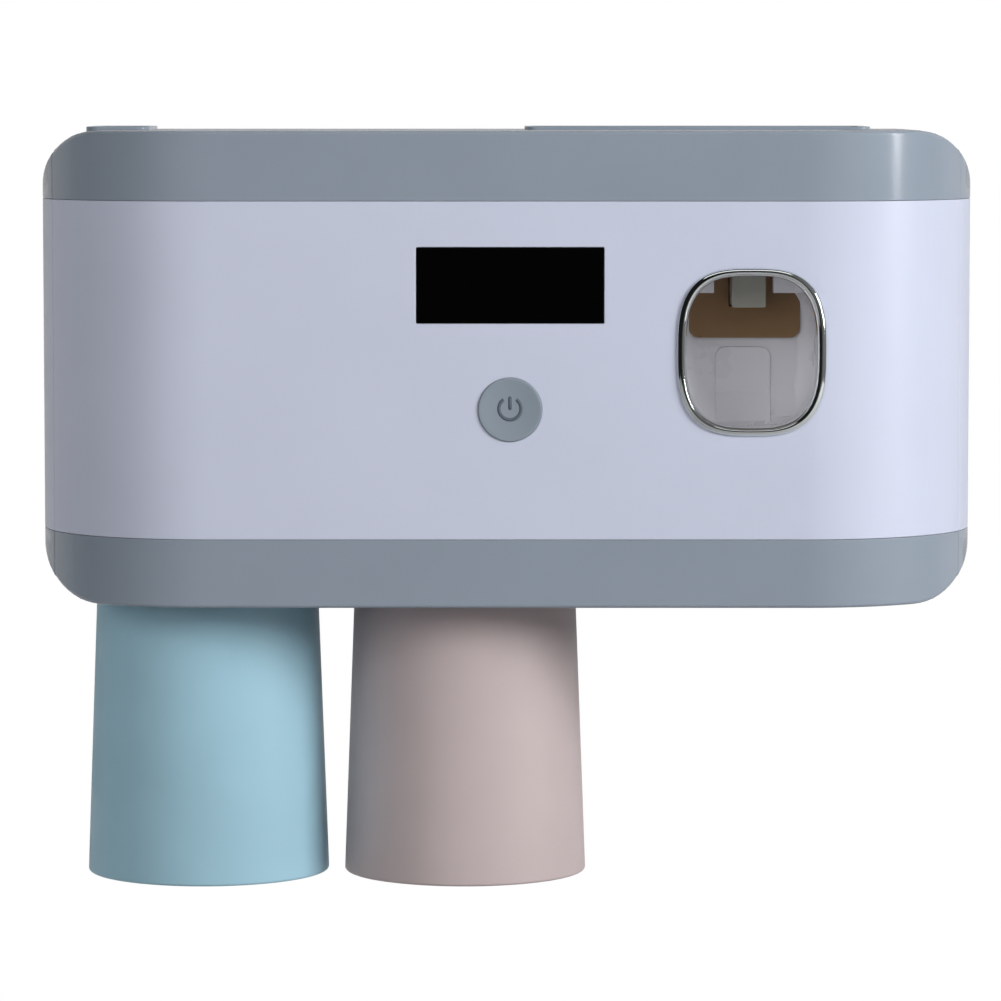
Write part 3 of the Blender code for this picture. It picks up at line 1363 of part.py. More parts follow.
CASE_LEFT = DISPLAY_X - DISPLAY_WIDTH / 2 - MODULE_MARGIN - BOARD_MARGIN
CASE_RIGHT = DISPLAY_X + DISPLAY_WIDTH / 2 + MODULE_MARGIN + BOARD_MARGIN
CASE_TOP = DISPLAY_Z + DISPLAY_HEIGHT / 2 + MODULE_MARGIN + BOARD_MARGIN
CASE_BOTTOM = BUTTON_Z - BUTTON_RADIUS - BUTTON_FLANGE - BOARD_MARGIN
BATTERY_Z = CASE_TOP - BATTERY_DROP
CASE_FRONT_Y = PANEL_REAR_Y + FIT_GAP
CASE_BOSS_END_Y = CASE_REAR_Y - CASE_WALL - FIT_GAP
CASE_BOSS_INSET = CASE_BOSS_RADIUS + FIT_GAP + CASE_WALL
CASE_SCREW_PLACES = (
    (CASE_LEFT + CASE_BOSS_INSET, CASE_BOTTOM + CASE_BOSS_INSET),
    (CASE_RIGHT - CASE_BOSS_INSET, CASE_BOTTOM + CASE_BOSS_INSET),
)


def make_electronics_cover():
    low = (CASE_LEFT, CASE_FRONT_Y, CASE_BOTTOM)
    case = box("electronics_cover", low, (CASE_RIGHT, CASE_REAR_Y, CASE_TOP))
    inset = CASE_WALL
    low = (CASE_LEFT + inset, CASE_FRONT_Y - OVERRUN, CASE_BOTTOM + inset)
    high = (CASE_RIGHT - inset, CASE_REAR_Y - inset, CASE_TOP - inset)
    cut(case, box("hollow", low, high))
    for centre_x, centre_z in CASE_SCREW_PLACES:
        start = (centre_x, CASE_REAR_Y - CASE_WALL - OVERRUN, centre_z)
        end = (centre_x, CASE_REAR_Y + OVERRUN, centre_z)
        cut(case, rod("hole", CASE_SCREW_RADIUS + FIT_GAP, start, end, BORE_STEPS))
    low = (LAMP_LEAD_X - SEAM_GAP - LEAD_RADIUS, CASE_FRONT_Y - OVERRUN, CASE_BOTTOM - OVERRUN)
    high = (LAMP_LEAD_X + SEAM_GAP + LEAD_RADIUS, LAMP_LEAD_Y + 2 * SEAM_GAP, CASE_BOTTOM + inset + OVERRUN)
    return cut(case, box("lead_slot", low, high))


def make_cover_screws():
    made = []
    for index, (centre_x, centre_z) in enumerate(CASE_SCREW_PLACES, 1):
        seat = (centre_x, CASE_REAR_Y + FIT_GAP, centre_z)
        length = CASE_REAR_Y - BOARD_Y
        made.append(screw(f"cover_screw_{index}", CASE_SCREW_RADIUS, seat, (0, 1, 0), length))
    return made


def make_control_board():
    inset = CASE_WALL + FIT_GAP
    low = (CASE_LEFT + inset, BOARD_Y, CASE_BOTTOM + inset)
    high = (CASE_RIGHT - inset, BOARD_Y + BOARD_THICKNESS, CASE_TOP - inset)
    board = box("control_board", low, high)
    around = CASE_BOSS_RADIUS + FIT_GAP
    top = CASE_SCREW_PLACES[0][1] + around
    for left, right in (
        (CASE_LEFT, CASE_SCREW_PLACES[0][0] + around),
        (CASE_SCREW_PLACES[1][0] - around, CASE_RIGHT),
    ):
        corner = box(
            "corner",
            (left, BOARD_Y - OVERRUN, CASE_BOTTOM),
            (right, BOARD_Y + BOARD_THICKNESS + OVERRUN, top),
        )
        cut(board, corner)
    return board


def make_tact_switch():
    half = SWITCH_SIDE / 2
    low = (DISPLAY_X - half, SWITCH_FRONT_Y + SWITCH_BODY / 4, BUTTON_Z - half)
    switch = box("tact_switch", low, (DISPLAY_X + half, BOARD_Y - FIT_GAP, BUTTON_Z + half))
    start = (DISPLAY_X, SWITCH_FRONT_Y, BUTTON_Z)
    end = (DISPLAY_X, BOARD_Y - SWITCH_BODY / 2, BUTTON_Z)
    return join(switch, rod("plunger", SWITCH_SIDE / 4, start, end, BORE_STEPS))


def make_battery_parts():
    """A cell lying along X, and the cradle that holds it to the board."""
    half = BATTERY_LENGTH / 2
    start = (DISPLAY_X - half, BATTERY_Y, BATTERY_Z)
    cell = rod("battery_cell", BATTERY_RADIUS, start, (DISPLAY_X + half, BATTERY_Y, BATTERY_Z))
    floor_y = BOARD_Y + BOARD_THICKNESS + FIT_GAP
    wide = half + FIT_GAP + HOLDER_WALL
    tall = BATTERY_RADIUS + FIT_GAP + HOLDER_WALL
    low = (DISPLAY_X - wide, floor_y, BATTERY_Z - tall)
    high = (DISPLAY_X + wide, floor_y + HOLDER_WALL + HOLDER_HEIGHT, BATTERY_Z + tall)
    holder = box("battery_holder", low, high)
    wide = half + FIT_GAP
    tall = BATTERY_RADIUS + FIT_GAP
    low = (DISPLAY_X - wide, floor_y + HOLDER_WALL, BATTERY_Z - tall)
    high = (DISPLAY_X + wide, high[1] + OVERRUN, BATTERY_Z + tall)
    cut(holder, box("trough", low, high))
    return [cell, holder]


LEAD_OFFSET = 0.0020
LAMP_LEAD_X = CASE_RIGHT - CASE_BOSS_INSET * 2 - LEAD_OFFSET


def battery_lead(name, side):
    """A lead from an end of the battery's cradle down to the board."""
    x = DISPLAY_X + side * (BATTERY_LENGTH / 2 - LEAD_OFFSET)
    out = LEAD_RADIUS + FIT_GAP
    start_z = BATTERY_Z - BATTERY_RADIUS - FIT_GAP - HOLDER_WALL - out
    board = BOARD_Y + BOARD_THICKNESS + out
    end_z = start_z - HOLDER_HEIGHT
    mid_y = board + LEAD_OFFSET
    points = [
        (x, board + HOLDER_HEIGHT - LEAD_OFFSET, start_z),
        (x, mid_y + LEAD_OFFSET / 2, start_z - LEAD_OFFSET / 4),
        (x, mid_y, start_z - LEAD_OFFSET),
        (x, board + LEAD_OFFSET / 2, end_z + LEAD_OFFSET / 2),
        (x, board, end_z),
    ]
    return wire(name, points, LEAD_RADIUS)


LAMP_BOARD_Y = PANEL_REAR_Y + LAMP_STANDOFF
LAMP_FACE_Y = LAMP_BOARD_Y + LAMP_BOARD_THICKNESS
LAMP_LEAD_Y = LAMP_BOARD_Y + LAMP_BOARD_THICKNESS / 2


def make_lamp_parts():
    """The lamp board on its standoffs, its lamps, and the clear cover over them."""
    left, right = LAMP_X
    half = LAMP_BOARD_HEIGHT / 2
    low = (left, LAMP_BOARD_Y, LAMP_Z - half)
    board = box("uv_lamp_board", low, (right, LAMP_FACE_Y, LAMP_Z + half))
    feet_y = PANEL_REAR_Y + FIT_GAP
    for x in (left, right - LAMP_SIDE):
        low = (x, feet_y, LAMP_Z - half)
        high = (x + LAMP_SIDE, LAMP_BOARD_Y + LAMP_BOARD_THICKNESS / 2, LAMP_Z + half)
        join(board, box("foot", low, high))
    made = [board]
    pitch = (right - left) / LAMP_COUNT
    for index in range(LAMP_COUNT):
        x = left + pitch * (index + 1 / 2)
        side = LAMP_SIDE / 2
        low = (x - side, LAMP_FACE_Y + FIT_GAP, LAMP_Z - side)
        high = (x + side, LAMP_FACE_Y + FIT_GAP + LAMP_HEIGHT, LAMP_Z + side)
        made.append(box(f"uv_lamp_{index + 1}", low, high))
    made.append(make_lamp_cover())
    return made


def make_lamp_cover():
    left, right = LAMP_X
    half = LAMP_BOARD_HEIGHT / 2
    around = FIT_GAP + LAMP_COVER_WALL
    low = (left - around, CASE_FRONT_Y, LAMP_Z - half - around)
    rear = CASE_FRONT_Y + LAMP_COVER_DEPTH
    lens = box("uv_lamp_cover", low, (right + around, rear, LAMP_Z + half + around))
    low = (left - FIT_GAP, CASE_FRONT_Y - OVERRUN, LAMP_Z - half - FIT_GAP)
    high = (right + FIT_GAP, rear - LAMP_COVER_WALL, LAMP_Z + half + FIT_GAP)
    cut(lens, box("hollow", low, high))
    slot = LEAD_RADIUS + FIT_GAP
    low = (left - around - OVERRUN, CASE_FRONT_Y - OVERRUN, LAMP_Z - slot)
    high = (left, LAMP_LEAD_Y + slot, LAMP_Z + slot)
    return cut(lens, box("lead_slot", low, high))


def make_lamp_lead():
    """The lead from the lamp board to the control board."""
    low_y = LAMP_LEAD_Y
    x = LAMP_LEAD_X
    end = (x, BOARD_Y - FIT_GAP - LEAD_RADIUS, CASE_BOTTOM + CASE_WALL + LEAD_OFFSET * 2)
    points = [
        (LAMP_X[0] - FIT_GAP, low_y, LAMP_Z),
        (x + LEAD_OFFSET * 2, low_y, LAMP_Z),
        (x + LEAD_OFFSET / 2, low_y, LAMP_Z + LEAD_OFFSET / 2),
        (x, low_y, LAMP_Z + LEAD_OFFSET * 2),
        (x, low_y, CASE_BOTTOM + CASE_WALL),
        (x, low_y + LEAD_OFFSET, CASE_BOTTOM + CASE_WALL + LEAD_OFFSET),
        end,
    ]
    return wire("uv_lamp_lead", points, LEAD_RADIUS)


def make_cup(name, centre_x):
    """A tapered cup hung mouth down, with a recess in its base for a steel disc."""
    mouth = -CUP_HEIGHT
    inner_mouth = CUP_MOUTH_RADIUS - CUP_WALL
    inner_base = CUP_BASE_RADIUS - CUP_WALL
    recess = DISC_THICKNESS + FIT_GAP
    profile = [
        (0, -recess),
        (DISC_RADIUS + FIT_GAP, -recess),
        (DISC_RADIUS + FIT_GAP, 0),
        (CUP_BASE_RADIUS - CUP_CORNER, 0),
    ]
    profile += arc((CUP_BASE_RADIUS - CUP_CORNER, -CUP_CORNER), CUP_CORNER, 90, 0, SMALL_STEPS)[1:]
    profile += [
        (CUP_MOUTH_RADIUS, mouth + CUP_LIP),
        (CUP_MOUTH_RADIUS - CUP_LIP, mouth),
        (inner_mouth + CUP_LIP, mouth),
        (inner_mouth, mouth + CUP_LIP),
        (inner_base, -CUP_BASE - CUP_CORNER),
        (inner_base - CUP_CORNER, -CUP_BASE),
        (0, -CUP_BASE),
    ]
    return turned(name, profile, (centre_x, CUP_Y, CUP_TOP_Z), steps=CUP_STEPS)


def make_cup_disc(name, centre_x):
    low = (centre_x, CUP_Y, CUP_TOP_Z - DISC_THICKNESS)
    return rod(name, DISC_RADIUS, low, (centre_x, CUP_Y, CUP_TOP_Z))


def finish(made, look_name, look):
    """Each made piece goes into the part's collection with its material."""
    pieces = made if isinstance(made, list) else [made]
    for piece in pieces:
        WORKSHOP.objects.unlink(piece)
        PART.objects.link(piece)
        piece.data.materials.clear()
        piece.data.materials.append(material(look_name, look))
        if piece.type == "MESH":
            piece.data.shade_smooth()
            piece.data.set_sharp_from_angle(angle=math.radians(SMOOTH_DEGREES))
    return pieces


SMOOTH_DEGREES = 35


def carry(name, place, pieces):
    """An empty on a joint's axis, or at a body's datum, that carries its pieces."""
    empty = bpy.data.objects.new(name, None)
    PART.objects.link(empty)
    empty.location = place
    bpy.context.view_layer.update()
    for piece in pieces:
        piece.parent = empty
        piece.matrix_parent_inverse = empty.matrix_world.inverted()
    return empty


def build_wall_plate():
    pad = finish(make_adhesive_pad(), "pad_foam", FOAM_GREY)
    bracket = finish(make_wall_bracket(), "white_plastic", WHITE_PLASTIC)
    return pad + bracket


def build_holder_body():
    pieces = finish(make_rear_housing(), "white_plastic", WHITE_PLASTIC)
    pieces += finish(make_top_cap(), "grey_plastic", GREY_PLASTIC)
    pieces += finish(make_base_cap(), "grey_plastic", GREY_PLASTIC)
    pieces += finish(make_brush_rack(), "inner_white", INNER_WHITE)
    for piece in make_dock_parts():
        is_magnet = piece.name.startswith("dock")
        look = ("magnet_nickel", MAGNET_NICKEL) if is_magnet else ("inner_white", INNER_WHITE)
        pieces += finish(piece, *look)
    pieces += finish(make_hinge_pins() + make_back_screws(), "steel", STEEL)
    pieces += finish(make_tube_seat(), "grey_plastic", GREY_PLASTIC)
    pieces += finish(make_dispenser_frame(), "inner_white", INNER_WHITE)
    pieces += finish(make_dispenser_screws() + [make_lever_pin()], "steel", STEEL)
    pieces += finish(make_uv_shield(), "amber_plastic", AMBER_PLASTIC)
    pieces += finish(make_nozzle(), "inner_white", INNER_WHITE)
    pieces += finish(make_pump_parts(), "silicone", SILICONE)
    pieces += finish(make_return_spring(), "steel", STEEL)
    return pieces


def build_cover():
    pieces = finish(make_front_panel(), "white_plastic", WHITE_PLASTIC)
    pieces += finish(make_door_top_band(), "grey_plastic", GREY_PLASTIC)
    pieces += finish(make_door_bottom_band(), "grey_plastic", GREY_PLASTIC)
    pieces += finish(make_bezel_ring(), "chrome", CHROME)
    lens, module = make_display_parts()
    pieces += finish(lens, "black_gloss", BLACK_GLOSS)
    pieces += finish([module, make_tact_switch()], "black_plastic", BLACK_PLASTIC)
    pieces += finish(make_control_board(), "board_green", BOARD_GREEN)
    cell, holder = make_battery_parts()
    pieces += finish(cell, "cell_blue", CELL_BLUE)
    pieces += finish(holder, "black_plastic", BLACK_PLASTIC)
    leads = [battery_lead("battery_lead_left", -1), battery_lead("battery_lead_right", 1)]
    pieces += finish(leads + [make_lamp_lead()], "lead_red", LEAD_RED)
    board, *lamps, lamp_cover = make_lamp_parts()
    pieces += finish(board, "board_green", BOARD_GREEN)
    pieces += finish(lamps, "lamp_ceramic", LAMP_CERAMIC)
    pieces += finish(lamp_cover, "clear_plastic", CLEAR_PLASTIC)
    pieces += finish(make_electronics_cover(), "inner_white", INNER_WHITE)
    pieces += finish(make_cover_screws() + [make_usb_socket()], "steel", STEEL)
    return pieces


def build_catches():
    """The catch magnets ride with the cover, and their plates stay in the base."""
    parts = make_catch_parts()
    magnets = [piece for piece in parts if "magnet" in piece.name]
    plates = [piece for piece in parts if "plate" in piece.name]
    return finish(magnets, "magnet_nickel", MAGNET_NICKEL), finish(plates, "steel", STEEL)


def build_part():
    carry("wall_plate", (0, 0, 0), build_wall_plate())
    magnets, plates = build_catches()
    carry("holder_body", (0, REAR_Y, HOOK_Z), build_holder_body() + plates)
    carry("front_cover", (0, PARTING_Y, HINGE_Z), build_cover() + magnets)
    button = finish(make_power_button(), "button_grey", BUTTON_GREY)
    carry("button_axis", (DISPLAY_X, FRONT_Y, BUTTON_Z), button)
    lever = finish(make_push_lever(), "inner_white", INNER_WHITE)
    carry("lever_axis", (LEVER_X, PIVOT_Y, PIVOT_Z), lever)
    looks = (("blue_plastic", BLUE_PLASTIC), ("pink_plastic", PINK_PLASTIC))
    for name, centre_x, look in zip(("blue_cup", "pink_cup"), CUP_X, looks):
        cup = finish(make_cup(name, centre_x), *look)
        disc = finish(make_cup_disc(f"{name}_disc", centre_x), "steel", STEEL)
        carry(f"{name}_axis", (centre_x, CUP_Y, CUP_TOP_Z), cup + disc)


clear_scene()
PART = new_collection("uv_toothbrush_holder")
WORKSHOP = new_collection("cutters")
WORKSHOP.hide_render = True
build_part()
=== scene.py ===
"""The wall-mounted toothbrush holder, dressed: its shells, window, cups and finishes over
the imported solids, with a pale studio and the camera in front of it."""

import math

import bmesh
import bpy
from mathutils import Matrix, Vector


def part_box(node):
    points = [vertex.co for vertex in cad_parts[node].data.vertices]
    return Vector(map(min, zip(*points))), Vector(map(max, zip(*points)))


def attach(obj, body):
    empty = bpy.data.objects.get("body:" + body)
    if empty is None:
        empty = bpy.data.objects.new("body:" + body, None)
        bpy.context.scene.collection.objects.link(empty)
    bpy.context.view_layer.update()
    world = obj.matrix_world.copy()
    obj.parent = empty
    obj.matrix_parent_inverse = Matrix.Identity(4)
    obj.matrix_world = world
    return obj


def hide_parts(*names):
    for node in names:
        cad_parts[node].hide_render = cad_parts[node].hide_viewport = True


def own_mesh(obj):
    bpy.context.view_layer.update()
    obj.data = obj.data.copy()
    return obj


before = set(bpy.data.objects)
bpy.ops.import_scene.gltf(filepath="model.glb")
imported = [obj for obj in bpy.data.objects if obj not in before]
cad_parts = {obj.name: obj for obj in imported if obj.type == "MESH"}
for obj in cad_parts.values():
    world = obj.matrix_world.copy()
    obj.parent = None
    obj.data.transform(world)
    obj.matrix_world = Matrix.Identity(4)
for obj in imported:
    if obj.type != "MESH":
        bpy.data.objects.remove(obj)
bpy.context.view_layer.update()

# Sizes of the solids, in metres
FIT_GAP = 0.0003
SEAM_GAP = 0.0005
SEAM_SHOWN = 0.0003
OVERRUN = 0.002
BODY_WIDTH = 0.280
BODY_HEIGHT = 0.140
OUTLINE_RADIUS = 0.0193
NOSE_RADIUS = 0.052
HEEL_RADIUS = 0.005
LEAST_RADIUS = 0.0006
WALL = 0.0024
LIP = 0.0015
LIP_REACH = 0.006
CAP_WALL = WALL + FIT_GAP + LIP
REAR_Y = -0.0046
FRONT_Y = -0.0960
PARTING_Y = -0.0650
PANEL_REAR_Y = FRONT_Y + WALL
TOP_Z = 0.070
BOTTOM_Z = -0.070
TOP_SEAM_Z = 0.0495
BOTTOM_SEAM_Z = -0.0498
FLOOR_Z = BOTTOM_Z + CAP_WALL
CEILING_Z = TOP_Z - CAP_WALL
HALF_GAP = FIT_GAP / 2
SEAM_LINE = 0.00004
REACH = BODY_WIDTH / 2 + OVERRUN

COVER_Y = (FRONT_Y - OVERRUN, PARTING_Y - SEAM_SHOWN)
BACK_Y = (PARTING_Y, REAR_Y + OVERRUN)
MIDDLE_Z = (BOTTOM_SEAM_Z + SEAM_LINE, TOP_SEAM_Z - SEAM_LINE)

HINGE_Z = 0.067
HINGE_RADIUS = 0.003
HINGE_GAP = 0.0004
LUG_XS = (-0.095, 0.095)
LUG_WIDTH = 0.008
LUG_REACH = 0.006
LUG_ROUND = 0.995
PIN_BORE = 0.0013
PIN_LENGTH = 0.018

TRAY_SPANS = ((0.0055, 0.109), (-0.126, -0.107))
TRAY_Y = (-0.0590, -0.0166)
TRAY_RIM_HEIGHT = 0.001
TRAY_RIM_WIDTH = 0.0016
TRAY_DEPTH = 0.0015
TRAY_RADIUS = 0.004

WINDOW_X = 0.0718
WINDOW_Z = 0.0054
RING_WIDTH, RING_HEIGHT = 0.0439, 0.0493
OPENING_WIDTH, OPENING_HEIGHT = 0.0382, 0.0444
RING_PROUD = 0.0013
RING_FULLNESS = 0.62
RING_SLOPE = 0.0012
COLLAR_WALL = 0.0013
COLLAR_REAR_Y = PANEL_REAR_Y + 0.006
SQUARENESS = 3.0

DISPLAY_X = WINDOW_X - 0.0708
DISPLAY_Z = 0.0249
DISPLAY_WIDTH, DISPLAY_HEIGHT = 0.0549, 0.0222
DISPLAY_SLACK = 0.00008
DISPLAY_ROUND = 0.0004
LENS_THICKNESS = 0.0021
LENS_ROUND = 0.0003
BUTTON_RADIUS = 0.0094
BUTTON_FLANGE = 0.0016
BUTTON_FLANGE_DEPTH = 0.001
BUTTON_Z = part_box("power_button")[0].z + BUTTON_RADIUS + BUTTON_FLANGE
BUTTON_PROUD = 0.0006
BUTTON_SLACK = 0.00005
BUTTON_DISH = 0.0009
BUTTON_ROLL = 0.0004
STEM_RADIUS = 0.003
STEM_END_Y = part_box("power_button")[1].y
MARK_RADIUS = 0.00325
MARK_STROKE = 0.00102
MARK_GAP = math.radians(35)
MARK_Z = BUTTON_Z + 0.0003
MARK_STEM_Z = (MARK_Z - 0.0004, MARK_Z + 0.0036)
MARK_STEM_ROUND = 0.98
MARK_DEPTH = 0.0005
MARK_PROUD = 0.00004

CASE_LOW, CASE_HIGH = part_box("electronics_cover")
CASE_BOSS_XS = (CASE_LOW.x + 0.0047, CASE_HIGH.x - 0.0047)
CASE_BOSS_Z = CASE_LOW.z + 0.0047
CASE_BOSS_END_Y = CASE_HIGH.y - 0.0017
CASE_BOSS_RADIUS = 0.003
CASE_BOSS_BORE = 0.0015

NOTCH_XS = (0.042, 0.066, 0.090, 0.114)
NOTCH_WIDTH = 0.009
NOTCH_DEPTH = 0.016
NOTCH_ROUND = 0.998
PARTITION_X = 0.0275
PARTITION_HALF = 0.001
HOOK_XS = (-0.085, 0.085)
HOOK_Z = TOP_SEAM_Z - LIP_REACH - 0.0193
HOOK_SLOT_Z = (HOOK_Z - 0.010 - FIT_GAP, HOOK_Z + 0.003 + FIT_GAP)
HOOK_SLOT_HALF = 0.0063
HOOK_SLOT_ROUND = 0.0008
BACK_SCREW_XS = (-0.115, 0.115)
BACK_SCREW_ZS = (TOP_SEAM_Z - 0.003, BOTTOM_SEAM_Z + 0.003)
BACK_SCREW_BORE = 0.0018
BACK_BOSS_RADIUS = 0.0034
BACK_BOSS_DEPTH = 0.005
CATCH_XS = (-0.052, 0.010)
CATCH_BLOCK = 0.010
CATCH_BLOCK_DEPTH = 0.005
CATCH_BLOCK_ROUND = 0.0012
CATCH_RADIUS = 0.003
CATCH_MAGNET_DEPTH = 0.0033
CATCH_PLATE_DEPTH = 0.0018
CATCH_Z = FLOOR_Z + CATCH_BLOCK / 2
SOCKET_LOW, SOCKET_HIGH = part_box("usb_socket")
SOCKET_WALL = 0.0017
SOCKET_ROUND = 0.0011

CUP_XS = (-0.0907, -0.0126)
CUP_Y = -0.046
CUP_TOP_Z = BOTTOM_Z - 0.0004
CUP_HEIGHT = 0.0844
CUP_BASE_RADIUS = 0.0336
CUP_MOUTH_RADIUS = 0.0366
CUP_WALL = 0.0022
CUP_BASE = 0.0034
CUP_OUTER_ROUND = 0.0016
CUP_INNER_ROUND = 0.0022
CUP_RIM_ROUND = 0.0009
DISC_RADIUS = 0.010
DISC_RECESS = 0.0018
DISC_CHAMFER = 0.0002
MAGNET_RADIUS = 0.006
MAGNET_FLOOR = 0.0013

BAY_BACK_Y = FRONT_Y + 0.035
BAY_WIDTH = OPENING_WIDTH + 0.0022
BAY_HEIGHT = OPENING_HEIGHT + 0.0022
BAY_FLOOR_Z = WINDOW_Z - BAY_HEIGHT / 2
BAY_ROOF_Z = WINDOW_Z + BAY_HEIGHT / 2
SCOOP_RADIUS = 0.014
BAY_COVE = 0.0075
BAY_COVE_TURN = math.radians(72)
BAY_COVE_PAST = 0.0004
FRAME_WALL = 0.0017
FRAME_LEFT, FRAME_RIGHT = WINDOW_X - 0.026, WINDOW_X + 0.026
FRAME_FRONT_Y = COLLAR_REAR_Y + 0.001
FRAME_REAR_Y = BAY_BACK_Y + 0.031
FRAME_TOP = WINDOW_Z + 0.0426
FRAME_BOTTOM = WINDOW_Z - 0.0299
FRAME_ROUND = 0.0012
EAR_Z = TOP_SEAM_Z - LIP_REACH - 0.0073
EAR_REACH = 0.0034
EAR_XS = (FRAME_LEFT - EAR_REACH, FRAME_RIGHT + EAR_REACH)
EAR_HALF = 0.0045
EAR_THICKNESS = 0.0024
EAR_BORE = 0.0017
POST_RADIUS = 0.0036
POST_BORE_DEPTH = 0.012
LEVER_X = WINDOW_X - 0.001
LEVER_WIDTH = 0.0164
LEVER_THICKNESS = 0.0022
LEVER_PROUD = 0.0006
LEVER_TOP = WINDOW_Z - 0.0002
LEVER_BEND = WINDOW_Z - 0.0137
LEVER_FOOT = WINDOW_Z - 0.0239
LEVER_FORWARD = 0.0072
LEVER_ROUND = 0.003
NECK_INSET = 0.003
NECK_OVERLAP = 0.0005
PIVOT_Y = BAY_BACK_Y + 0.006
PIVOT_Z = WINDOW_Z + 0.0031
PIVOT_BORE = 0.00155
PIVOT_LENGTH = 0.0295
HUB_RADIUS = 0.0032
SLEEVE_Y = BAY_BACK_Y + 0.013
SLEEVE_RADIUS = 0.004
SLEEVE_BORE = 0.0026
SLEEVE_BOTTOM = 0.016
SLEEVE_TOP = 0.040
ARM_GAP = 0.0005
ARM_THICKNESS = 0.0025
ARM_TOP = WINDOW_Z + 0.0286
ARM_HALF = 0.0045
SPRING_START = BAY_BACK_Y + 0.00225
SPRING_LENGTH = 0.01008
SPRING_Z = -0.004
SPRING_RADIUS = 0.0025
SPRING_WIRE = 0.00035
SPRING_TURNS = 6
CHAMBER_FRONT_Y = BAY_BACK_Y + FRAME_WALL
CHAMBER_REAR_Y = BAY_BACK_Y + 0.0265
CHAMBER_TOP = WINDOW_Z + 0.0406
CHAMBER_HALF = 0.013
SLOT_SLACK = 0.00003
SLOT_FOOT = WINDOW_Z - 0.0279
SLOT_LAP = 0.004
VALVE_BORE = 0.0059
NOZZLE_BOTTOM = WINDOW_Z + 0.0123
NOZZLE_TOP = NOZZLE_BOTTOM + 0.0158
NOZZLE_FRONT_Y = FRONT_Y + 0.018
NOZZLE_REAR_Y = SLEEVE_Y - SLEEVE_RADIUS - FIT_GAP
NOZZLE_WIDTH = 0.010
NOZZLE_BORE = 0.002
NOZZLE_ROUND = 0.0006
RIB_SPANS = (
    (FRAME_LEFT + FRAME_WALL, WINDOW_X - 0.0104),
    (WINDOW_X + 0.0072, FRAME_RIGHT - FRAME_WALL),
)
RIB_LOW = WINDOW_Z + 0.0166
RIB_DEPTH = 0.006
GUARD_X = WINDOW_X - 0.0006
GUARD_HALF = 0.0166
GUARD_LOW = WINDOW_Z + 0.0026
GUARD_TOP = BAY_ROOF_Z + 0.003
GUARD_THICKNESS = 0.0012
GUARD_ROUND = 0.003
FUNNEL_RADIUS = 0.0078
FUNNEL_FLANGE = 0.0012
FUNNEL_NECK = 0.3

# What only the eye needs: the rounds on edges, and how finely curves divide
FRONT_ROUND = 0.0011
DISPLAY_RIM_ROUND = 0.0003
BUTTON_RIM_ROUND = 0.0001
FINE_EASE = 0.0001
SMALL_EASE = 0.00015
SOFT_EASE = 0.0002
SHELL_EASE = 0.00022
FULL_EASE = 0.0003
BROAD_EASE = 0.0004
PADDLE_EASE = 0.00014
OUTLINE_SEGMENTS = 14
NOSE_SEGMENTS = 22
HEEL_SEGMENTS = 6
WINDOW_SEGMENTS = 144
COVE_SEGMENTS = 10
RING_SEGMENTS = 14
DISH_SEGMENTS = 12
ROLL_SEGMENTS = 5
MARK_SEGMENTS = 56
COIL_SEGMENTS = 16
CUP_SEGMENTS = 128
TURN_SEGMENTS = 96
ROUND_SEGMENTS = 48
HOLE_SEGMENTS = 32
BORE_SEGMENTS = 24
STATION_STEP = 0.00018
CRISP_ANGLE = 0.21
NEAR = 0.001
SAME_PLACE = 0.000004
AXIS_RADIUS = 0.000001


# ---------------------------------------------------------------- shaping


def block_shape(low, high):
    """A box between two corners."""
    low, high = Vector(low), Vector(high)
    shape = bmesh.new()
    bmesh.ops.create_cube(shape, size=1)
    bmesh.ops.scale(shape, vec=high - low, verts=shape.verts)
    bmesh.ops.translate(shape, vec=(low + high) / 2, verts=shape.verts)
    return shape


def edges_along(shape, axis):
    """The edges of a box that run along X, Y or Z."""
    index = "XYZ".index(axis)
    found = []
    for edge in shape.edges:
        run = edge.verts[1].co - edge.verts[0].co
        if abs(run[index]) > 0.999 * run.length:
            found.append(edge)
    return found


def round_edges(shape, edges, radius, segments):
    bmesh.ops.bevel(
        shape,
        geom=edges,
        offset=radius,
        offset_type="OFFSET",
        segments=segments,
        profile=0.5,
        affect="EDGES",
        clamp_overlap=False,
        material=-1,
    )


def made_object(name, shape):
    """The shape becomes an object at the origin."""
    mesh = bpy.data.meshes.new(name)
    shape.to_mesh(mesh)
    shape.free()
    made = bpy.data.objects.new(name, mesh)
    bpy.context.scene.collection.objects.link(made)
    return made


def block(name, low, high, axis=None, radius=0.0, segments=6, only=None):
    """A box whose edges along an axis may be rounded, all of them or those that only() picks."""
    shape = block_shape(low, high)
    if axis:
        edges = edges_along(shape, axis)
        if only:
            edges = [edge for edge in edges if only((edge.verts[0].co + edge.verts[1].co) / 2)]
        round_edges(shape, edges, radius, segments)
    return made_object(name, shape)


def bar(name, radius, start, end, segments=ROUND_SEGMENTS):
    """A round bar from one point to another."""
    start, end = Vector(start), Vector(end)
    turn = Vector((0, 0, 1)).rotation_difference(end - start).to_matrix().to_4x4()
    shape = bmesh.new()
    bmesh.ops.create_cone(
        shape,
        cap_ends=True,
        segments=segments,
        radius1=radius,
        radius2=radius,
        depth=(end - start).length,
        matrix=Matrix.Translation((start + end) / 2) @ turn,
    )
    return made_object(name, shape)


def wide_block(name, x, half, y_range, z_range, *rounding, **choice):
    """A box that reaches equally far to both sides of an X."""
    low = (x - half, y_range[0], z_range[0])
    high = (x + half, y_range[1], z_range[1])
    return block(name, low, high, *rounding, **choice)


def bar_along(axis, name, radius, at, span, segments=ROUND_SEGMENTS):
    """A round bar along X, Y or Z, at a place on the other two axes."""
    ends = [list(at), list(at)]
    for end, reach in zip(ends, span):
        end.insert("XYZ".index(axis), reach)
    return bar(name, radius, *ends, segments)


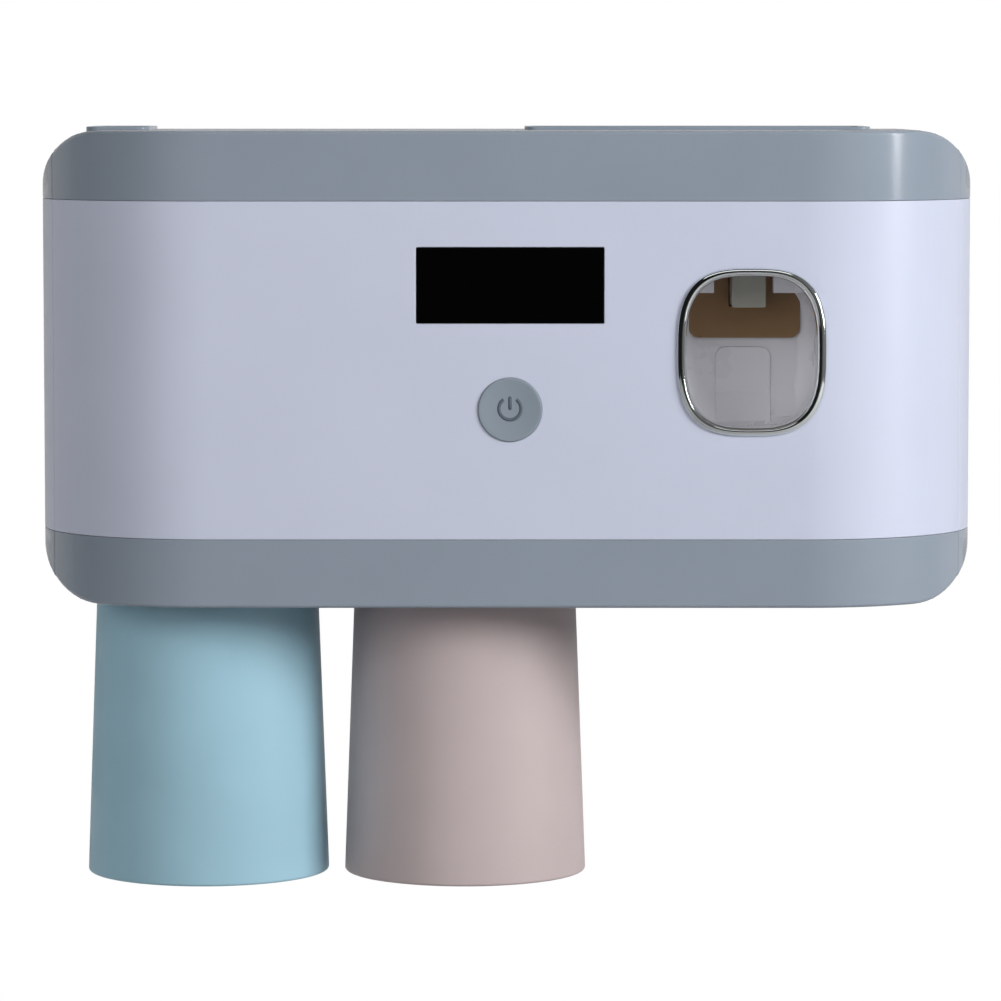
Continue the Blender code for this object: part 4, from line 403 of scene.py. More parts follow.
def turned(name, profile, centre, direction=(0, 0, 1), segments=TURN_SEGMENTS, closed=False):
    """A profile of (radius, height) points spun a full turn about a centre line."""
    shape = bmesh.new()
    points = [shape.verts.new((radius, 0, height)) for radius, height in profile]
    rims = [shape.edges.new(pair) for pair in zip(points, points[1:])]
    if closed:
        rims.append(shape.edges.new((points[-1], points[0])))
    bmesh.ops.spin(
        shape,
        geom=points + rims,
        cent=(0, 0, 0),
        axis=(0, 0, 1),
        angle=math.tau,
        steps=segments,
        use_merge=True,
    )
    bmesh.ops.remove_doubles(shape, verts=shape.verts, dist=2 * AXIS_RADIUS)
    bmesh.ops.recalc_face_normals(shape, faces=shape.faces)
    turn = Vector((0, 0, 1)).rotation_difference(Vector(direction)).to_matrix().to_4x4()
    bmesh.ops.transform(shape, matrix=Matrix.Translation(centre) @ turn, verts=shape.verts)
    return made_object(name, shape)


def only_kind(geometry, kind):
    """What an operator made, of one kind."""
    return [part for part in geometry if isinstance(part, kind)]


def slab(name, outline, x, half):
    """A side view of (y, z) points given its width to both sides of an X."""
    low_x, high_x = x - half, x + half
    shape = bmesh.new()
    face = shape.faces.new([shape.verts.new((low_x, y, z)) for y, z in outline])
    moved = bmesh.ops.extrude_face_region(shape, geom=[face])["geom"]
    verts = only_kind(moved, bmesh.types.BMVert)
    bmesh.ops.translate(shape, vec=(high_x - low_x, 0, 0), verts=verts)
    bmesh.ops.recalc_face_normals(shape, faces=shape.faces)
    return made_object(name, shape)


def squared_oval(angle, width, height):
    """A point on the window's outline, from the angle of a circle's point."""
    power = 2 / SQUARENESS
    across = math.copysign(abs(math.cos(angle)) ** power, math.cos(angle))
    up = math.copysign(abs(math.sin(angle)) ** power, math.sin(angle))
    return WINDOW_X + across * width / 2, WINDOW_Z + up * height / 2


def window_loop(verts, angles, width, height, y):
    """Points set on the window's outline at one depth."""
    for vert in verts:
        x, z = squared_oval(angles[vert], width, height)
        vert.co = (x, y, z)


def window_circle(shape, filled):
    made = bmesh.ops.create_circle(shape, cap_ends=filled, segments=WINDOW_SEGMENTS, radius=1)
    return {vert: math.atan2(vert.co.y, vert.co.x) for vert in made["verts"]}


def window_step(grown, angles, station):
    """New points take the angle of the point that each was drawn out of, and their own place."""
    verts = only_kind(grown, bmesh.types.BMVert)
    found = {}
    for vert in verts:
        for edge in vert.link_edges:
            other = edge.other_vert(vert)
            if other in angles:
                found[vert] = angles[other]
    angles.update(found)
    window_loop(verts, angles, *station)
    return verts


def window_plug(name, width, height, low_y, high_y, cove=0.0):
    """A plug with the window's outline, its far end rounded in by a cove."""
    stations = [(width, height, high_y - cove)]
    if cove:
        for step in range(1, COVE_SEGMENTS + 1):
            turn = BAY_COVE_TURN * step / COVE_SEGMENTS
            inward = 2 * cove * (1 - math.cos(turn))
            y = high_y - cove + cove * math.sin(turn)
            stations.append((width - inward, height - inward, y))
        stations.append((width - inward, height - inward, high_y + OVERRUN))
    shape = bmesh.new()
    angles = window_circle(shape, True)
    window_loop(angles, angles, width, height, low_y)
    cap, inner = shape.faces[:], []
    for station in stations:
        moved = bmesh.ops.extrude_face_region(shape, geom=cap)["geom"]
        window_step(moved, angles, station)
        left = [face for face in inner if face.is_valid]
        bmesh.ops.delete(shape, geom=left, context="FACES_ONLY")
        cap = inner = only_kind(moved, bmesh.types.BMFace)
    bmesh.ops.recalc_face_normals(shape, faces=shape.faces)
    return made_object(name, shape)


def window_band(name, stations):
    """A closed band round the window: each station is the outline's width, height and depth."""
    shape = bmesh.new()
    angles = window_circle(shape, False)
    window_loop(angles, angles, *stations[0])
    first = loop = shape.edges[:]
    for station in stations[1:]:
        grown = bmesh.ops.extrude_edge_only(shape, edges=loop)["geom"]
        verts = window_step(grown, angles, station)
        edges = only_kind(grown, bmesh.types.BMEdge)
        loop = [edge for edge in edges if all(vert in verts for vert in edge.verts)]
    bmesh.ops.bridge_loops(shape, edges=first + loop)
    bmesh.ops.recalc_face_normals(shape, faces=shape.faces)
    return made_object(name, shape)


def settled_mesh(piece):
    """The piece's modifiers made part of its mesh."""
    bpy.context.view_layer.update()
    graph = bpy.context.evaluated_depsgraph_get()
    mesh = bpy.data.meshes.new_from_object(piece.evaluated_get(graph))
    old = piece.data
    piece.modifiers.clear()
    piece.data = mesh
    bpy.data.meshes.remove(old)


def combine(piece, tools, operation):
    for tool in tools:
        step = piece.modifiers.new(operation.title(), "BOOLEAN")
        step.operation = operation
        step.solver = "EXACT"
        step.object = tool
        settled_mesh(piece)
        bpy.data.objects.remove(tool)
    return piece


def carve(piece, *tools):
    return combine(piece, tools, "DIFFERENCE")


def fuse(piece, *tools):
    return combine(piece, tools, "UNION")


def shared(piece, *tools):
    return combine(piece, tools, "INTERSECT")


# ---------------------------------------------------------------- the housing's form


def set_back(across, half, radius):
    """How far a rounded end falls back at this distance from the middle."""
    past = across - (half - radius)
    return radius - math.sqrt(max(radius * radius - past * past, 0)) if past > 0 else 0.0


def end_stations(half, corner, nose, heel):
    """Where the form is cut across so that its round ends follow their radii."""
    quarter = math.pi / 2
    kept = [
        half - corner + corner * math.sin(quarter * step / OUTLINE_SEGMENTS)
        for step in range(OUTLINE_SEGMENTS + 1)
    ]
    for radius, count in ((nose, NOSE_SEGMENTS), (heel, HEEL_SEGMENTS)):
        for step in range(count + 1):
            x = half - radius + radius * math.sin(quarter * step / count)
            if all(abs(x - other) > STATION_STEP for other in kept):
                kept.append(x)
    return [x for x in sorted(kept) if x < half - 0.00001]


def housing_form(name, inset=0.0, front_round=0.0):
    """The housing's outer form, drawn in by an inset, with its front edge eased."""
    half = BODY_WIDTH / 2 - inset
    tall = BODY_HEIGHT / 2 - inset
    radii = (OUTLINE_RADIUS, NOSE_RADIUS, HEEL_RADIUS)
    corner, nose, heel = (max(radius - inset, LEAST_RADIUS) for radius in radii)
    front, rear = FRONT_Y + inset, REAR_Y - inset
    shape = block_shape((-half, front, -tall), (half, rear, tall))
    round_edges(shape, edges_along(shape, "Y"), corner, OUTLINE_SEGMENTS)
    for x in end_stations(half, corner, nose, heel):
        for side in (-1, 1):
            bmesh.ops.bisect_plane(
                shape,
                geom=shape.verts[:] + shape.edges[:] + shape.faces[:],
                dist=SAME_PLACE,
                plane_co=(side * x, 0, 0),
                plane_no=(1, 0, 0),
            )
    shape.normal_update()
    for facing, base, radius in ((1, rear, heel), (-1, front, nose)):
        caps = {face for face in shape.faces if face.normal.y * facing > 0.9}
        rim = [edge for edge in shape.edges if sum(face in caps for face in edge.link_faces) == 1]
        for vert in {vert for face in caps for vert in face.verts}:
            vert.co.y = base - facing * set_back(abs(vert.co.x), half, radius)
    shape.normal_update()
    if front_round:
        crisp = [edge for edge in rim if edge.calc_face_angle(0) > CRISP_ANGLE]
        round_edges(shape, crisp, front_round, 4)
    return made_object(name, shape)


def housing_shell(name, thickness, y_range, z_range):
    """The part of the hollow housing between two planes in Y and two in Z."""
    region = block("region", (-REACH, y_range[0], z_range[0]), (REACH, y_range[1], z_range[1]))
    front_round = FRONT_ROUND if y_range[0] < FRONT_Y else 0
    solid = shared(housing_form(name, 0, front_round), region)
    return carve(solid, housing_form("inside", thickness))


def lip_rebate(low_z, high_z):
    """What a cap's lip leaves for the white wall that laps over it."""
    around = block("rebate", (-REACH, FRONT_Y - OVERRUN, low_z), (REACH, REAR_Y + OVERRUN, high_z))
    return carve(around, housing_form("lip_side", WALL + FIT_GAP))


def top_band(name, y_range):
    low = TOP_SEAM_Z - LIP_REACH
    band = housing_shell(name, CAP_WALL, y_range, (low, TOP_Z + OVERRUN))
    return carve(band, lip_rebate(low - OVERRUN, TOP_SEAM_Z + SEAM_LINE))


def bottom_band(name, y_range):
    high = BOTTOM_SEAM_Z + LIP_REACH
    band = housing_shell(name, CAP_WALL, y_range, (BOTTOM_Z - OVERRUN, high))
    return carve(band, lip_rebate(BOTTOM_SEAM_Z - SEAM_LINE, high + OVERRUN))


# ---------------------------------------------------------------- the cover


def hinge_pin_bore(x):
    half = PIN_LENGTH / 2 + FIT_GAP
    span = (x - half, x + half)
    return bar_along("X", "pin_bore", PIN_BORE, (PARTING_Y, HINGE_Z), span, BORE_SEGMENTS)


def cover_top_cap():
    """The cover's grey top, with the bead along its rear edge that turns on the lugs."""
    cap = top_band("cover_top_cap", COVER_Y)
    ends = (-BODY_WIDTH / 2, BODY_WIDTH / 2)
    bead = bar_along("X", "bead", HINGE_RADIUS, (PARTING_Y, HINGE_Z), ends)
    fuse(cap, shared(bead, housing_form("outer", HALF_GAP)))
    half = LUG_WIDTH / 2 + HINGE_GAP
    slot_y = (PARTING_Y - HINGE_RADIUS - HINGE_GAP, PARTING_Y + HINGE_RADIUS + OVERRUN)
    slot_z = (HINGE_Z - HINGE_RADIUS - OVERRUN, TOP_Z + OVERRUN)
    for x in LUG_XS:
        carve(cap, wide_block("lug_slot", x, half, slot_y, slot_z), hinge_pin_bore(x))
    return cap


def catch_block(x, y_range):
    return wide_block(
        "catch_block",
        x,
        CATCH_BLOCK / 2,
        y_range,
        (FLOOR_Z - LIP, FLOOR_Z + CATCH_BLOCK),
        "Y",
        CATCH_BLOCK_ROUND,
        only=lambda middle: middle.z > FLOOR_Z,
    )


def catch_pocket(x, y_range):
    return bar_along("Y", "catch_pocket", CATCH_RADIUS + FIT_GAP, (x, CATCH_Z), y_range)


def socket_block(name, margin, low_z, high_z):
    low = (SOCKET_LOW.x - margin, SOCKET_LOW.y - margin, low_z)
    high = (SOCKET_HIGH.x + margin, SOCKET_HIGH.y + margin, high_z)
    return block(name, low, high, "Z", SOCKET_ROUND, 5)


def cover_bottom_cap():
    """The cover's grey bottom, with its catch blocks and the sleeve for the charging socket."""
    cap = bottom_band("cover_bottom_cap", COVER_Y)
    edge = PARTING_Y - SEAM_GAP
    for x in CATCH_XS:
        fuse(cap, catch_block(x, (edge - CATCH_BLOCK_DEPTH, edge)))
        carve(cap, catch_pocket(x, (edge - CATCH_MAGNET_DEPTH, edge + OVERRUN)))
    fuse(cap, socket_block("sleeve", SOCKET_WALL, FLOOR_Z - LIP, SOCKET_HIGH.z))
    return carve(cap, socket_block("hole", FIT_GAP, BOTTOM_Z - OVERRUN, SOCKET_HIGH.z + OVERRUN))


def soften_rim(piece, picked, radius):
    """Rounds the edges on the cover's front that picked() chooses by their middle."""
    shape = bmesh.new()
    shape.from_mesh(piece.data)
    bmesh.ops.remove_doubles(shape, verts=shape.verts, dist=SAME_PLACE)
    rim = [
        edge
        for edge in shape.edges
        if all(abs(vert.co.y - FRONT_Y) < 0.00001 for vert in edge.verts)
        and edge.calc_face_angle(0) > 1.0
        and picked((edge.verts[0].co + edge.verts[1].co) / 2)
    ]
    round_edges(shape, rim, radius, 3)
    shape.to_mesh(piece.data)
    shape.free()


def cover_face():
    """The white front, with its display opening, button hole, window hole and two bosses."""
    face = housing_shell("cover_face", WALL, COVER_Y, MIDDLE_Z)
    through = (FRONT_Y - OVERRUN, PANEL_REAR_Y + OVERRUN)
    wide, tall = DISPLAY_WIDTH / 2 + DISPLAY_SLACK, DISPLAY_HEIGHT / 2 + DISPLAY_SLACK
    height = (DISPLAY_Z - tall, DISPLAY_Z + tall)
    rounding = ("Y", DISPLAY_ROUND, 3)
    opening = wide_block("display_opening", DISPLAY_X, wide, through, height, *rounding)
    hole = BUTTON_RADIUS + BUTTON_SLACK
    button = bar_along("Y", "button_hole", hole, (DISPLAY_X, BUTTON_Z), through, TURN_SEGMENTS)
    around = 2 * (COLLAR_WALL + FIT_GAP)
    window = window_plug("window_hole", OPENING_WIDTH + around, OPENING_HEIGHT + around, *through)
    carve(face, opening, button, window)

    def at_display(place):
        return abs(place.x - DISPLAY_X) < wide + NEAR and place.z > DISPLAY_Z - tall - NEAR

    def at_button(place):
        return math.hypot(place.x - DISPLAY_X, place.z - BUTTON_Z) < BUTTON_RADIUS + NEAR

    soften_rim(face, at_display, DISPLAY_RIM_ROUND)
    soften_rim(face, at_button, BUTTON_RIM_ROUND)
    solid = (FRONT_Y + WALL / 2, CASE_BOSS_END_Y)
    bore = (PANEL_REAR_Y, CASE_BOSS_END_Y + OVERRUN)
    for x in CASE_BOSS_XS:
        at = (x, CASE_BOSS_Z)
        fuse(face, bar_along("Y", "boss", CASE_BOSS_RADIUS, at, solid))
        carve(face, bar_along("Y", "boss_bore", CASE_BOSS_BORE, at, bore, BORE_SEGMENTS))
    return face


def window_ring():
    """The plated ring: a rounded bead on the cover, and a collar that lines the hole."""
    seat = FRONT_Y - FIT_GAP
    crown = RING_PROUD - FIT_GAP
    stations = []
    for step in range(RING_SEGMENTS + 1):
        share = step / RING_SEGMENTS
        width = RING_WIDTH + (OPENING_WIDTH - RING_WIDTH) * share
        height = RING_HEIGHT + (OPENING_HEIGHT - RING_HEIGHT) * share
        rise = math.sin(math.pi * share) ** RING_FULLNESS
        fall = RING_SLOPE * share * share
        stations.append((width, height, seat + fall - (crown + fall) * rise))
    collar_width = OPENING_WIDTH + 2 * COLLAR_WALL
    collar_height = OPENING_HEIGHT + 2 * COLLAR_WALL
    stations.append((OPENING_WIDTH, OPENING_HEIGHT, COLLAR_REAR_Y))
    stations.append((collar_width, collar_height, COLLAR_REAR_Y))
    stations.append((collar_width, collar_height, seat))
    return window_band("window_ring", stations)


def display_glass():
    tall = DISPLAY_HEIGHT / 2
    return wide_block(
        "display_glass",
        DISPLAY_X,
        DISPLAY_WIDTH / 2,
        (FRONT_Y, FRONT_Y + LENS_THICKNESS),
        (DISPLAY_Z - tall, DISPLAY_Z + tall),
        "Y",
        LENS_ROUND,
        3,
    )


# ---------------------------------------------------------------- the button


def power_key():
    """A dished cap with a rolled edge, its flange and its stem."""
    flange = WALL + FIT_GAP
    flange_rear = flange + BUTTON_FLANGE_DEPTH
    flat = BUTTON_RADIUS - BUTTON_ROLL
    profile = []
    for step in range(DISH_SEGMENTS + 1):
        share = step / DISH_SEGMENTS
        depth = BUTTON_DISH * (1 - share * share)
        profile.append((max(flat * share, AXIS_RADIUS), BUTTON_PROUD - depth))
    for step in range(1, ROLL_SEGMENTS + 1):
        angle = math.pi / 2 * step / ROLL_SEGMENTS
        rise = BUTTON_PROUD - BUTTON_ROLL + BUTTON_ROLL * math.cos(angle)
        profile.append((flat + BUTTON_ROLL * math.sin(angle), rise))
    profile += [
        (BUTTON_RADIUS, -flange),
        (BUTTON_RADIUS + BUTTON_FLANGE, -flange),
        (BUTTON_RADIUS + BUTTON_FLANGE, -flange_rear),
        (STEM_RADIUS, -flange_rear),
        (STEM_RADIUS, FRONT_Y - STEM_END_Y),
        (AXIS_RADIUS, FRONT_Y - STEM_END_Y),
    ]
    return turned("power_key", profile, (DISPLAY_X, FRONT_Y, BUTTON_Z), (0, -1, 0))


def power_mark():
    """The standby mark: an open ring and a short bar, printed in the dish."""
    front = FRONT_Y - BUTTON_PROUD
    half = MARK_STROKE / 2
    shape = bmesh.new()
    corners = ((-half, 0), (half, 0), (half, MARK_DEPTH), (-half, MARK_DEPTH))
    points = [shape.verts.new((MARK_RADIUS + across, front + deep, 0)) for across, deep in corners]
    shape.faces.new(points)
    bmesh.ops.spin(
        shape,
        geom=shape.verts[:] + shape.edges[:] + shape.faces[:],
        cent=(0, 0, 0),
        axis=(0, 1, 0),
        angle=math.tau - 2 * MARK_GAP,
        steps=MARK_SEGMENTS,
        use_merge=False,
    )
    bmesh.ops.recalc_face_normals(shape, faces=shape.faces)
    upright = Matrix.Rotation(MARK_GAP - math.pi / 2, 4, "Y")
    bmesh.ops.transform(shape, matrix=upright, verts=shape.verts)
    bmesh.ops.translate(shape, vec=(DISPLAY_X, 0, MARK_Z), verts=shape.verts)
    mark = made_object("power_mark", shape)
    depth = (front, front + MARK_DEPTH)
    rounding = ("Y", half * MARK_STEM_ROUND, 5)
    fuse(mark, wide_block("stem", DISPLAY_X, half, depth, MARK_STEM_Z, *rounding))
    for vert in mark.data.vertices:
        share = math.hypot(vert.co.x - DISPLAY_X, vert.co.z - BUTTON_Z)
        share /= BUTTON_RADIUS - BUTTON_ROLL
        vert.co.y += BUTTON_DISH * (1 - share * share) - MARK_PROUD
    return mark


# ---------------------------------------------------------------- the housing behind it


def hinge_lug(x):
    """A rounded tab that reaches forward from the top to the hinge's axis."""
    radius = HINGE_RADIUS - HALF_GAP
    tab = wide_block(
        "lug",
        x,
        LUG_WIDTH / 2,
        (PARTING_Y - radius, PARTING_Y + LUG_REACH),
        (HINGE_Z - radius, HINGE_Z + radius),
        "X",
        radius * LUG_ROUND,
        10,
        only=lambda middle: middle.y < PARTING_Y,
    )
    return carve(tab, hinge_pin_bore(x))


def tray_block(name, x_range, inset, low_z, high_z):
    low = (x_range[0] + inset, TRAY_Y[0] + inset, low_z)
    high = (x_range[1] - inset, TRAY_Y[1] - inset, high_z)
    return block(name, low, high, "Z", TRAY_RADIUS - inset, 10)


def add_back_bosses(cap, z):
    """Bosses inside a lip for the screws that come through the rear wall."""
    back = REAR_Y - WALL - FIT_GAP
    front = back - BACK_BOSS_DEPTH
    bore = (front - OVERRUN, back + OVERRUN)
    for x in BACK_SCREW_XS:
        fuse(cap, bar_along("Y", "boss", BACK_BOSS_RADIUS, (x, z), (front, back)))
        carve(cap, bar_along("Y", "boss_bore", BACK_SCREW_BORE, (x, z), bore, BORE_SEGMENTS))


def housing_top():
    """The grey top, with two rimmed trays, the paste port, the lugs and two bosses."""
    cap = top_band("housing_top", BACK_Y)
    low = (-REACH, PARTING_Y - OVERRUN, HINGE_Z - HINGE_RADIUS - HINGE_GAP)
    high = (REACH, PARTING_Y + HINGE_RADIUS + HINGE_GAP, TOP_Z + OVERRUN)
    carve(cap, block("hinge_clearance", low, high))
    floor_z, rim_z = TOP_Z - TRAY_DEPTH, TOP_Z + TRAY_RIM_HEIGHT
    for span in TRAY_SPANS:
        fuse(cap, tray_block("rim", span, 0, floor_z, rim_z))
        carve(cap, tray_block("recess", span, TRAY_RIM_WIDTH, floor_z, rim_z + OVERRUN))
    at, through = (WINDOW_X, SLEEVE_Y), (CEILING_Z - OVERRUN, TOP_Z)
    carve(cap, bar_along("Z", "port", FUNNEL_RADIUS + FIT_GAP, at, through, TURN_SEGMENTS))
    for x in LUG_XS:
        fuse(cap, hinge_lug(x))
    add_back_bosses(cap, BACK_SCREW_ZS[0])
    return cap


def brush_notch(x):
    half = NOTCH_WIDTH / 2
    return wide_block(
        "notch",
        x,
        half,
        (PARTING_Y - OVERRUN, PARTING_Y + NOTCH_DEPTH),
        (BOTTOM_Z - OVERRUN, FLOOR_Z + OVERRUN),
        "Z",
        half * NOTCH_ROUND,
        12,
        only=lambda middle: middle.y > PARTING_Y,
    )


def housing_floor():
    """The grey floor that the brushes hang through and the cups hang from."""
    cap = bottom_band("housing_floor", BACK_Y)
    for x in NOTCH_XS:
        carve(cap, brush_notch(x))
    pocket = (BOTTOM_Z + MAGNET_FLOOR, FLOOR_Z + OVERRUN)
    for x in CUP_XS:
        carve(cap, bar_along("Z", "pocket", MAGNET_RADIUS + FIT_GAP, (x, CUP_Y), pocket))
    for x in CATCH_XS:
        fuse(cap, catch_block(x, (PARTING_Y, PARTING_Y + CATCH_BLOCK_DEPTH)))
        carve(cap, catch_pocket(x, (PARTING_Y - OVERRUN, PARTING_Y + CATCH_PLATE_DEPTH)))
    add_back_bosses(cap, BACK_SCREW_ZS[1])
    return cap


def housing_back():
    """The white middle of the housing, with its partition, posts, hook slots and screw holes."""
    back = housing_shell("housing_back", WALL, BACK_Y, MIDDLE_Z)
    lap = LIP_REACH + FIT_GAP
    in_wall = REAR_Y - WALL / 2
    height = (MIDDLE_Z[0] + lap, MIDDLE_Z[1] - lap)
    fuse(back, wide_block("partition", PARTITION_X, PARTITION_HALF, (PARTING_Y, in_wall), height))
    through = (REAR_Y - WALL - OVERRUN, REAR_Y + OVERRUN)
    rounding = ("Y", HOOK_SLOT_ROUND, 4)
    for x in HOOK_XS:
        slot = wide_block("hook_slot", x, HOOK_SLOT_HALF, through, HOOK_SLOT_Z, *rounding)
        carve(back, slot)
    for x in BACK_SCREW_XS:
        for z in BACK_SCREW_ZS:
            hole = bar_along("Y", "screw_hole", BACK_SCREW_BORE, (x, z), through, HOLE_SEGMENTS)
            carve(back, hole)
    front = FRAME_REAR_Y + FIT_GAP
    bore = (front - OVERRUN, front + POST_BORE_DEPTH)
    for x in EAR_XS:
        fuse(back, bar_along("Y", "post", POST_RADIUS, (x, EAR_Z), (front, in_wall)))
        carve(back, bar_along("Y", "post_bore", EAR_BORE, (x, EAR_Z), bore, BORE_SEGMENTS))
    return back


# ---------------------------------------------------------------- the dispenser


def bay_hollow():
    """The bay's hollow: the window's outline carried back, over a scooped floor."""
    front = FRAME_FRONT_Y - OVERRUN
    mouth = window_plug("bay", BAY_WIDTH, BAY_HEIGHT, front, BAY_BACK_Y + BAY_COVE_PAST, BAY_COVE)
    side = block(
        "scoop",
        (FRAME_LEFT, front, BAY_FLOOR_Z),
        (FRAME_RIGHT, BAY_BACK_Y, BAY_ROOF_Z + OVERRUN),
        "X",
        SCOOP_RADIUS,
        24,
        only=lambda middle: middle.y > front + NEAR and middle.z < BAY_FLOOR_Z + NEAR,
    )
    return shared(mouth, side)


def paddle_slot():
    """The opening that the paddle swings in, with room behind the paddle's top."""
    half = LEVER_WIDTH / 2 + SLOT_SLACK
    slot = wide_block(
        "lever_slot",
        LEVER_X,
        half,
        (BAY_BACK_Y - LEVER_PROUD - LEVER_FORWARD - FIT_GAP, SLEEVE_Y),
        (SLOT_FOOT, LEVER_TOP + SLOT_SLACK),
        "Y",
        LEVER_ROUND + SLOT_SLACK,
        8,
        only=lambda middle: middle.z > SLOT_FOOT + NEAR,
    )
    height = (LEVER_TOP - SLOT_LAP, PIVOT_Z - HUB_RADIUS + FIT_GAP + OVERRUN)
    return fuse(slot, wide_block("slot_top", LEVER_X, half, (CHAMBER_FRONT_Y, SLEEVE_Y), height))


def pivot_bore(half):
    span = (LEVER_X - half, LEVER_X + half)
    return bar_along("X", "pin_bore", PIVOT_BORE, (PIVOT_Y, PIVOT_Z), span, BORE_SEGMENTS)


def dispenser_bay():
    """The bay behind the window, the pump's chamber behind it, and two ears for screws."""
    low = (FRAME_LEFT, FRAME_FRONT_Y, FRAME_BOTTOM)
    high = (FRAME_RIGHT, FRAME_REAR_Y, FRAME_TOP)
    bay = block("dispenser_bay", low, high, "Y", FRAME_ROUND, 4)
    carve(bay, bay_hollow())
    depth = (CHAMBER_FRONT_Y, CHAMBER_REAR_Y)
    height = (PIVOT_Z - HUB_RADIUS + FIT_GAP, CHAMBER_TOP)
    carve(bay, wide_block("chamber", LEVER_X, CHAMBER_HALF, depth, height))
    carve(bay, paddle_slot())
    for left, right in RIB_SPANS:
        high = (right, NOZZLE_FRONT_Y + RIB_DEPTH, BAY_ROOF_Z + OVERRUN)
        fuse(bay, block("rib", (left, NOZZLE_FRONT_Y, RIB_LOW), high))
    depth = (BAY_BACK_Y - OVERRUN, CHAMBER_FRONT_Y + OVERRUN)
    height = (PIVOT_Z + HUB_RADIUS, BAY_ROOF_Z)
    carve(bay, wide_block("shield_opening", LEVER_X, CHAMBER_HALF, depth, height))
    depth = (NOZZLE_FRONT_Y - FIT_GAP, CHAMBER_FRONT_Y + OVERRUN)
    height = (NOZZLE_BOTTOM, NOZZLE_TOP + FIT_GAP)
    carve(bay, wide_block("groove", WINDOW_X, NOZZLE_WIDTH / 2 + FIT_GAP, depth, height))
    height = (CHAMBER_TOP - OVERRUN, FRAME_TOP + OVERRUN)
    carve(bay, bar_along("Z", "valve_hole", VALVE_BORE, (WINDOW_X, SLEEVE_Y), height))
    carve(bay, pivot_bore(PIVOT_LENGTH / 2 + FIT_GAP))
    front = FRAME_REAR_Y - EAR_THICKNESS
    through = (front - OVERRUN, FRAME_REAR_Y + OVERRUN)
    for x in EAR_XS:
        low = (x - EAR_REACH - FRAME_WALL / 2, front, EAR_Z - EAR_HALF)
        high = (x + EAR_REACH + FRAME_WALL / 2, FRAME_REAR_Y, EAR_Z + EAR_HALF)
        fuse(bay, block("ear", low, high))
        carve(bay, bar_along("Y", "ear_hole", EAR_BORE, (x, EAR_Z), through, BORE_SEGMENTS))
    return bay


def light_guard():
    """The amber panel at the back of the bay."""
    rear = BAY_BACK_Y - FIT_GAP
    front = rear - GUARD_THICKNESS
    height = (GUARD_LOW, GUARD_TOP)
    rounding = ("Y", GUARD_ROUND, 10)
    panel = wide_block("light_guard", GUARD_X, GUARD_HALF, (front, rear), height, *rounding)
    through = (front - OVERRUN, rear + OVERRUN)
    gap = 2 * FIT_GAP
    shared(panel, window_plug("bay_wall", BAY_WIDTH - gap, BAY_HEIGHT - gap, *through))
    half = NOZZLE_WIDTH / 2 + FIT_GAP
    height = (NOZZLE_BOTTOM - FIT_GAP, GUARD_TOP)
    return carve(panel, wide_block("pass", WINDOW_X, half, through, height))


def paste_spout():
    """The duct from the pump to the tab over the brush."""
    depth, height = (NOZZLE_FRONT_Y, NOZZLE_REAR_Y), (NOZZLE_BOTTOM, NOZZLE_TOP)
    rounding = ("Y", NOZZLE_ROUND, 4)
    spout = wide_block("paste_spout", WINDOW_X, NOZZLE_WIDTH / 2, depth, height, *rounding)
    middle = (NOZZLE_BOTTOM + NOZZLE_TOP) / 2
    bore_y = NOZZLE_FRONT_Y + NOZZLE_WIDTH / 2
    run, drop = (bore_y, NOZZLE_REAR_Y + OVERRUN), (NOZZLE_BOTTOM - OVERRUN, middle)
    duct = bar_along("Y", "duct", NOZZLE_BORE, (WINDOW_X, middle), run, HOLE_SEGMENTS)
    outlet = bar_along("Z", "outlet", NOZZLE_BORE, (WINDOW_X, bore_y), drop, HOLE_SEGMENTS)
    return carve(spout, fuse(duct, outlet))


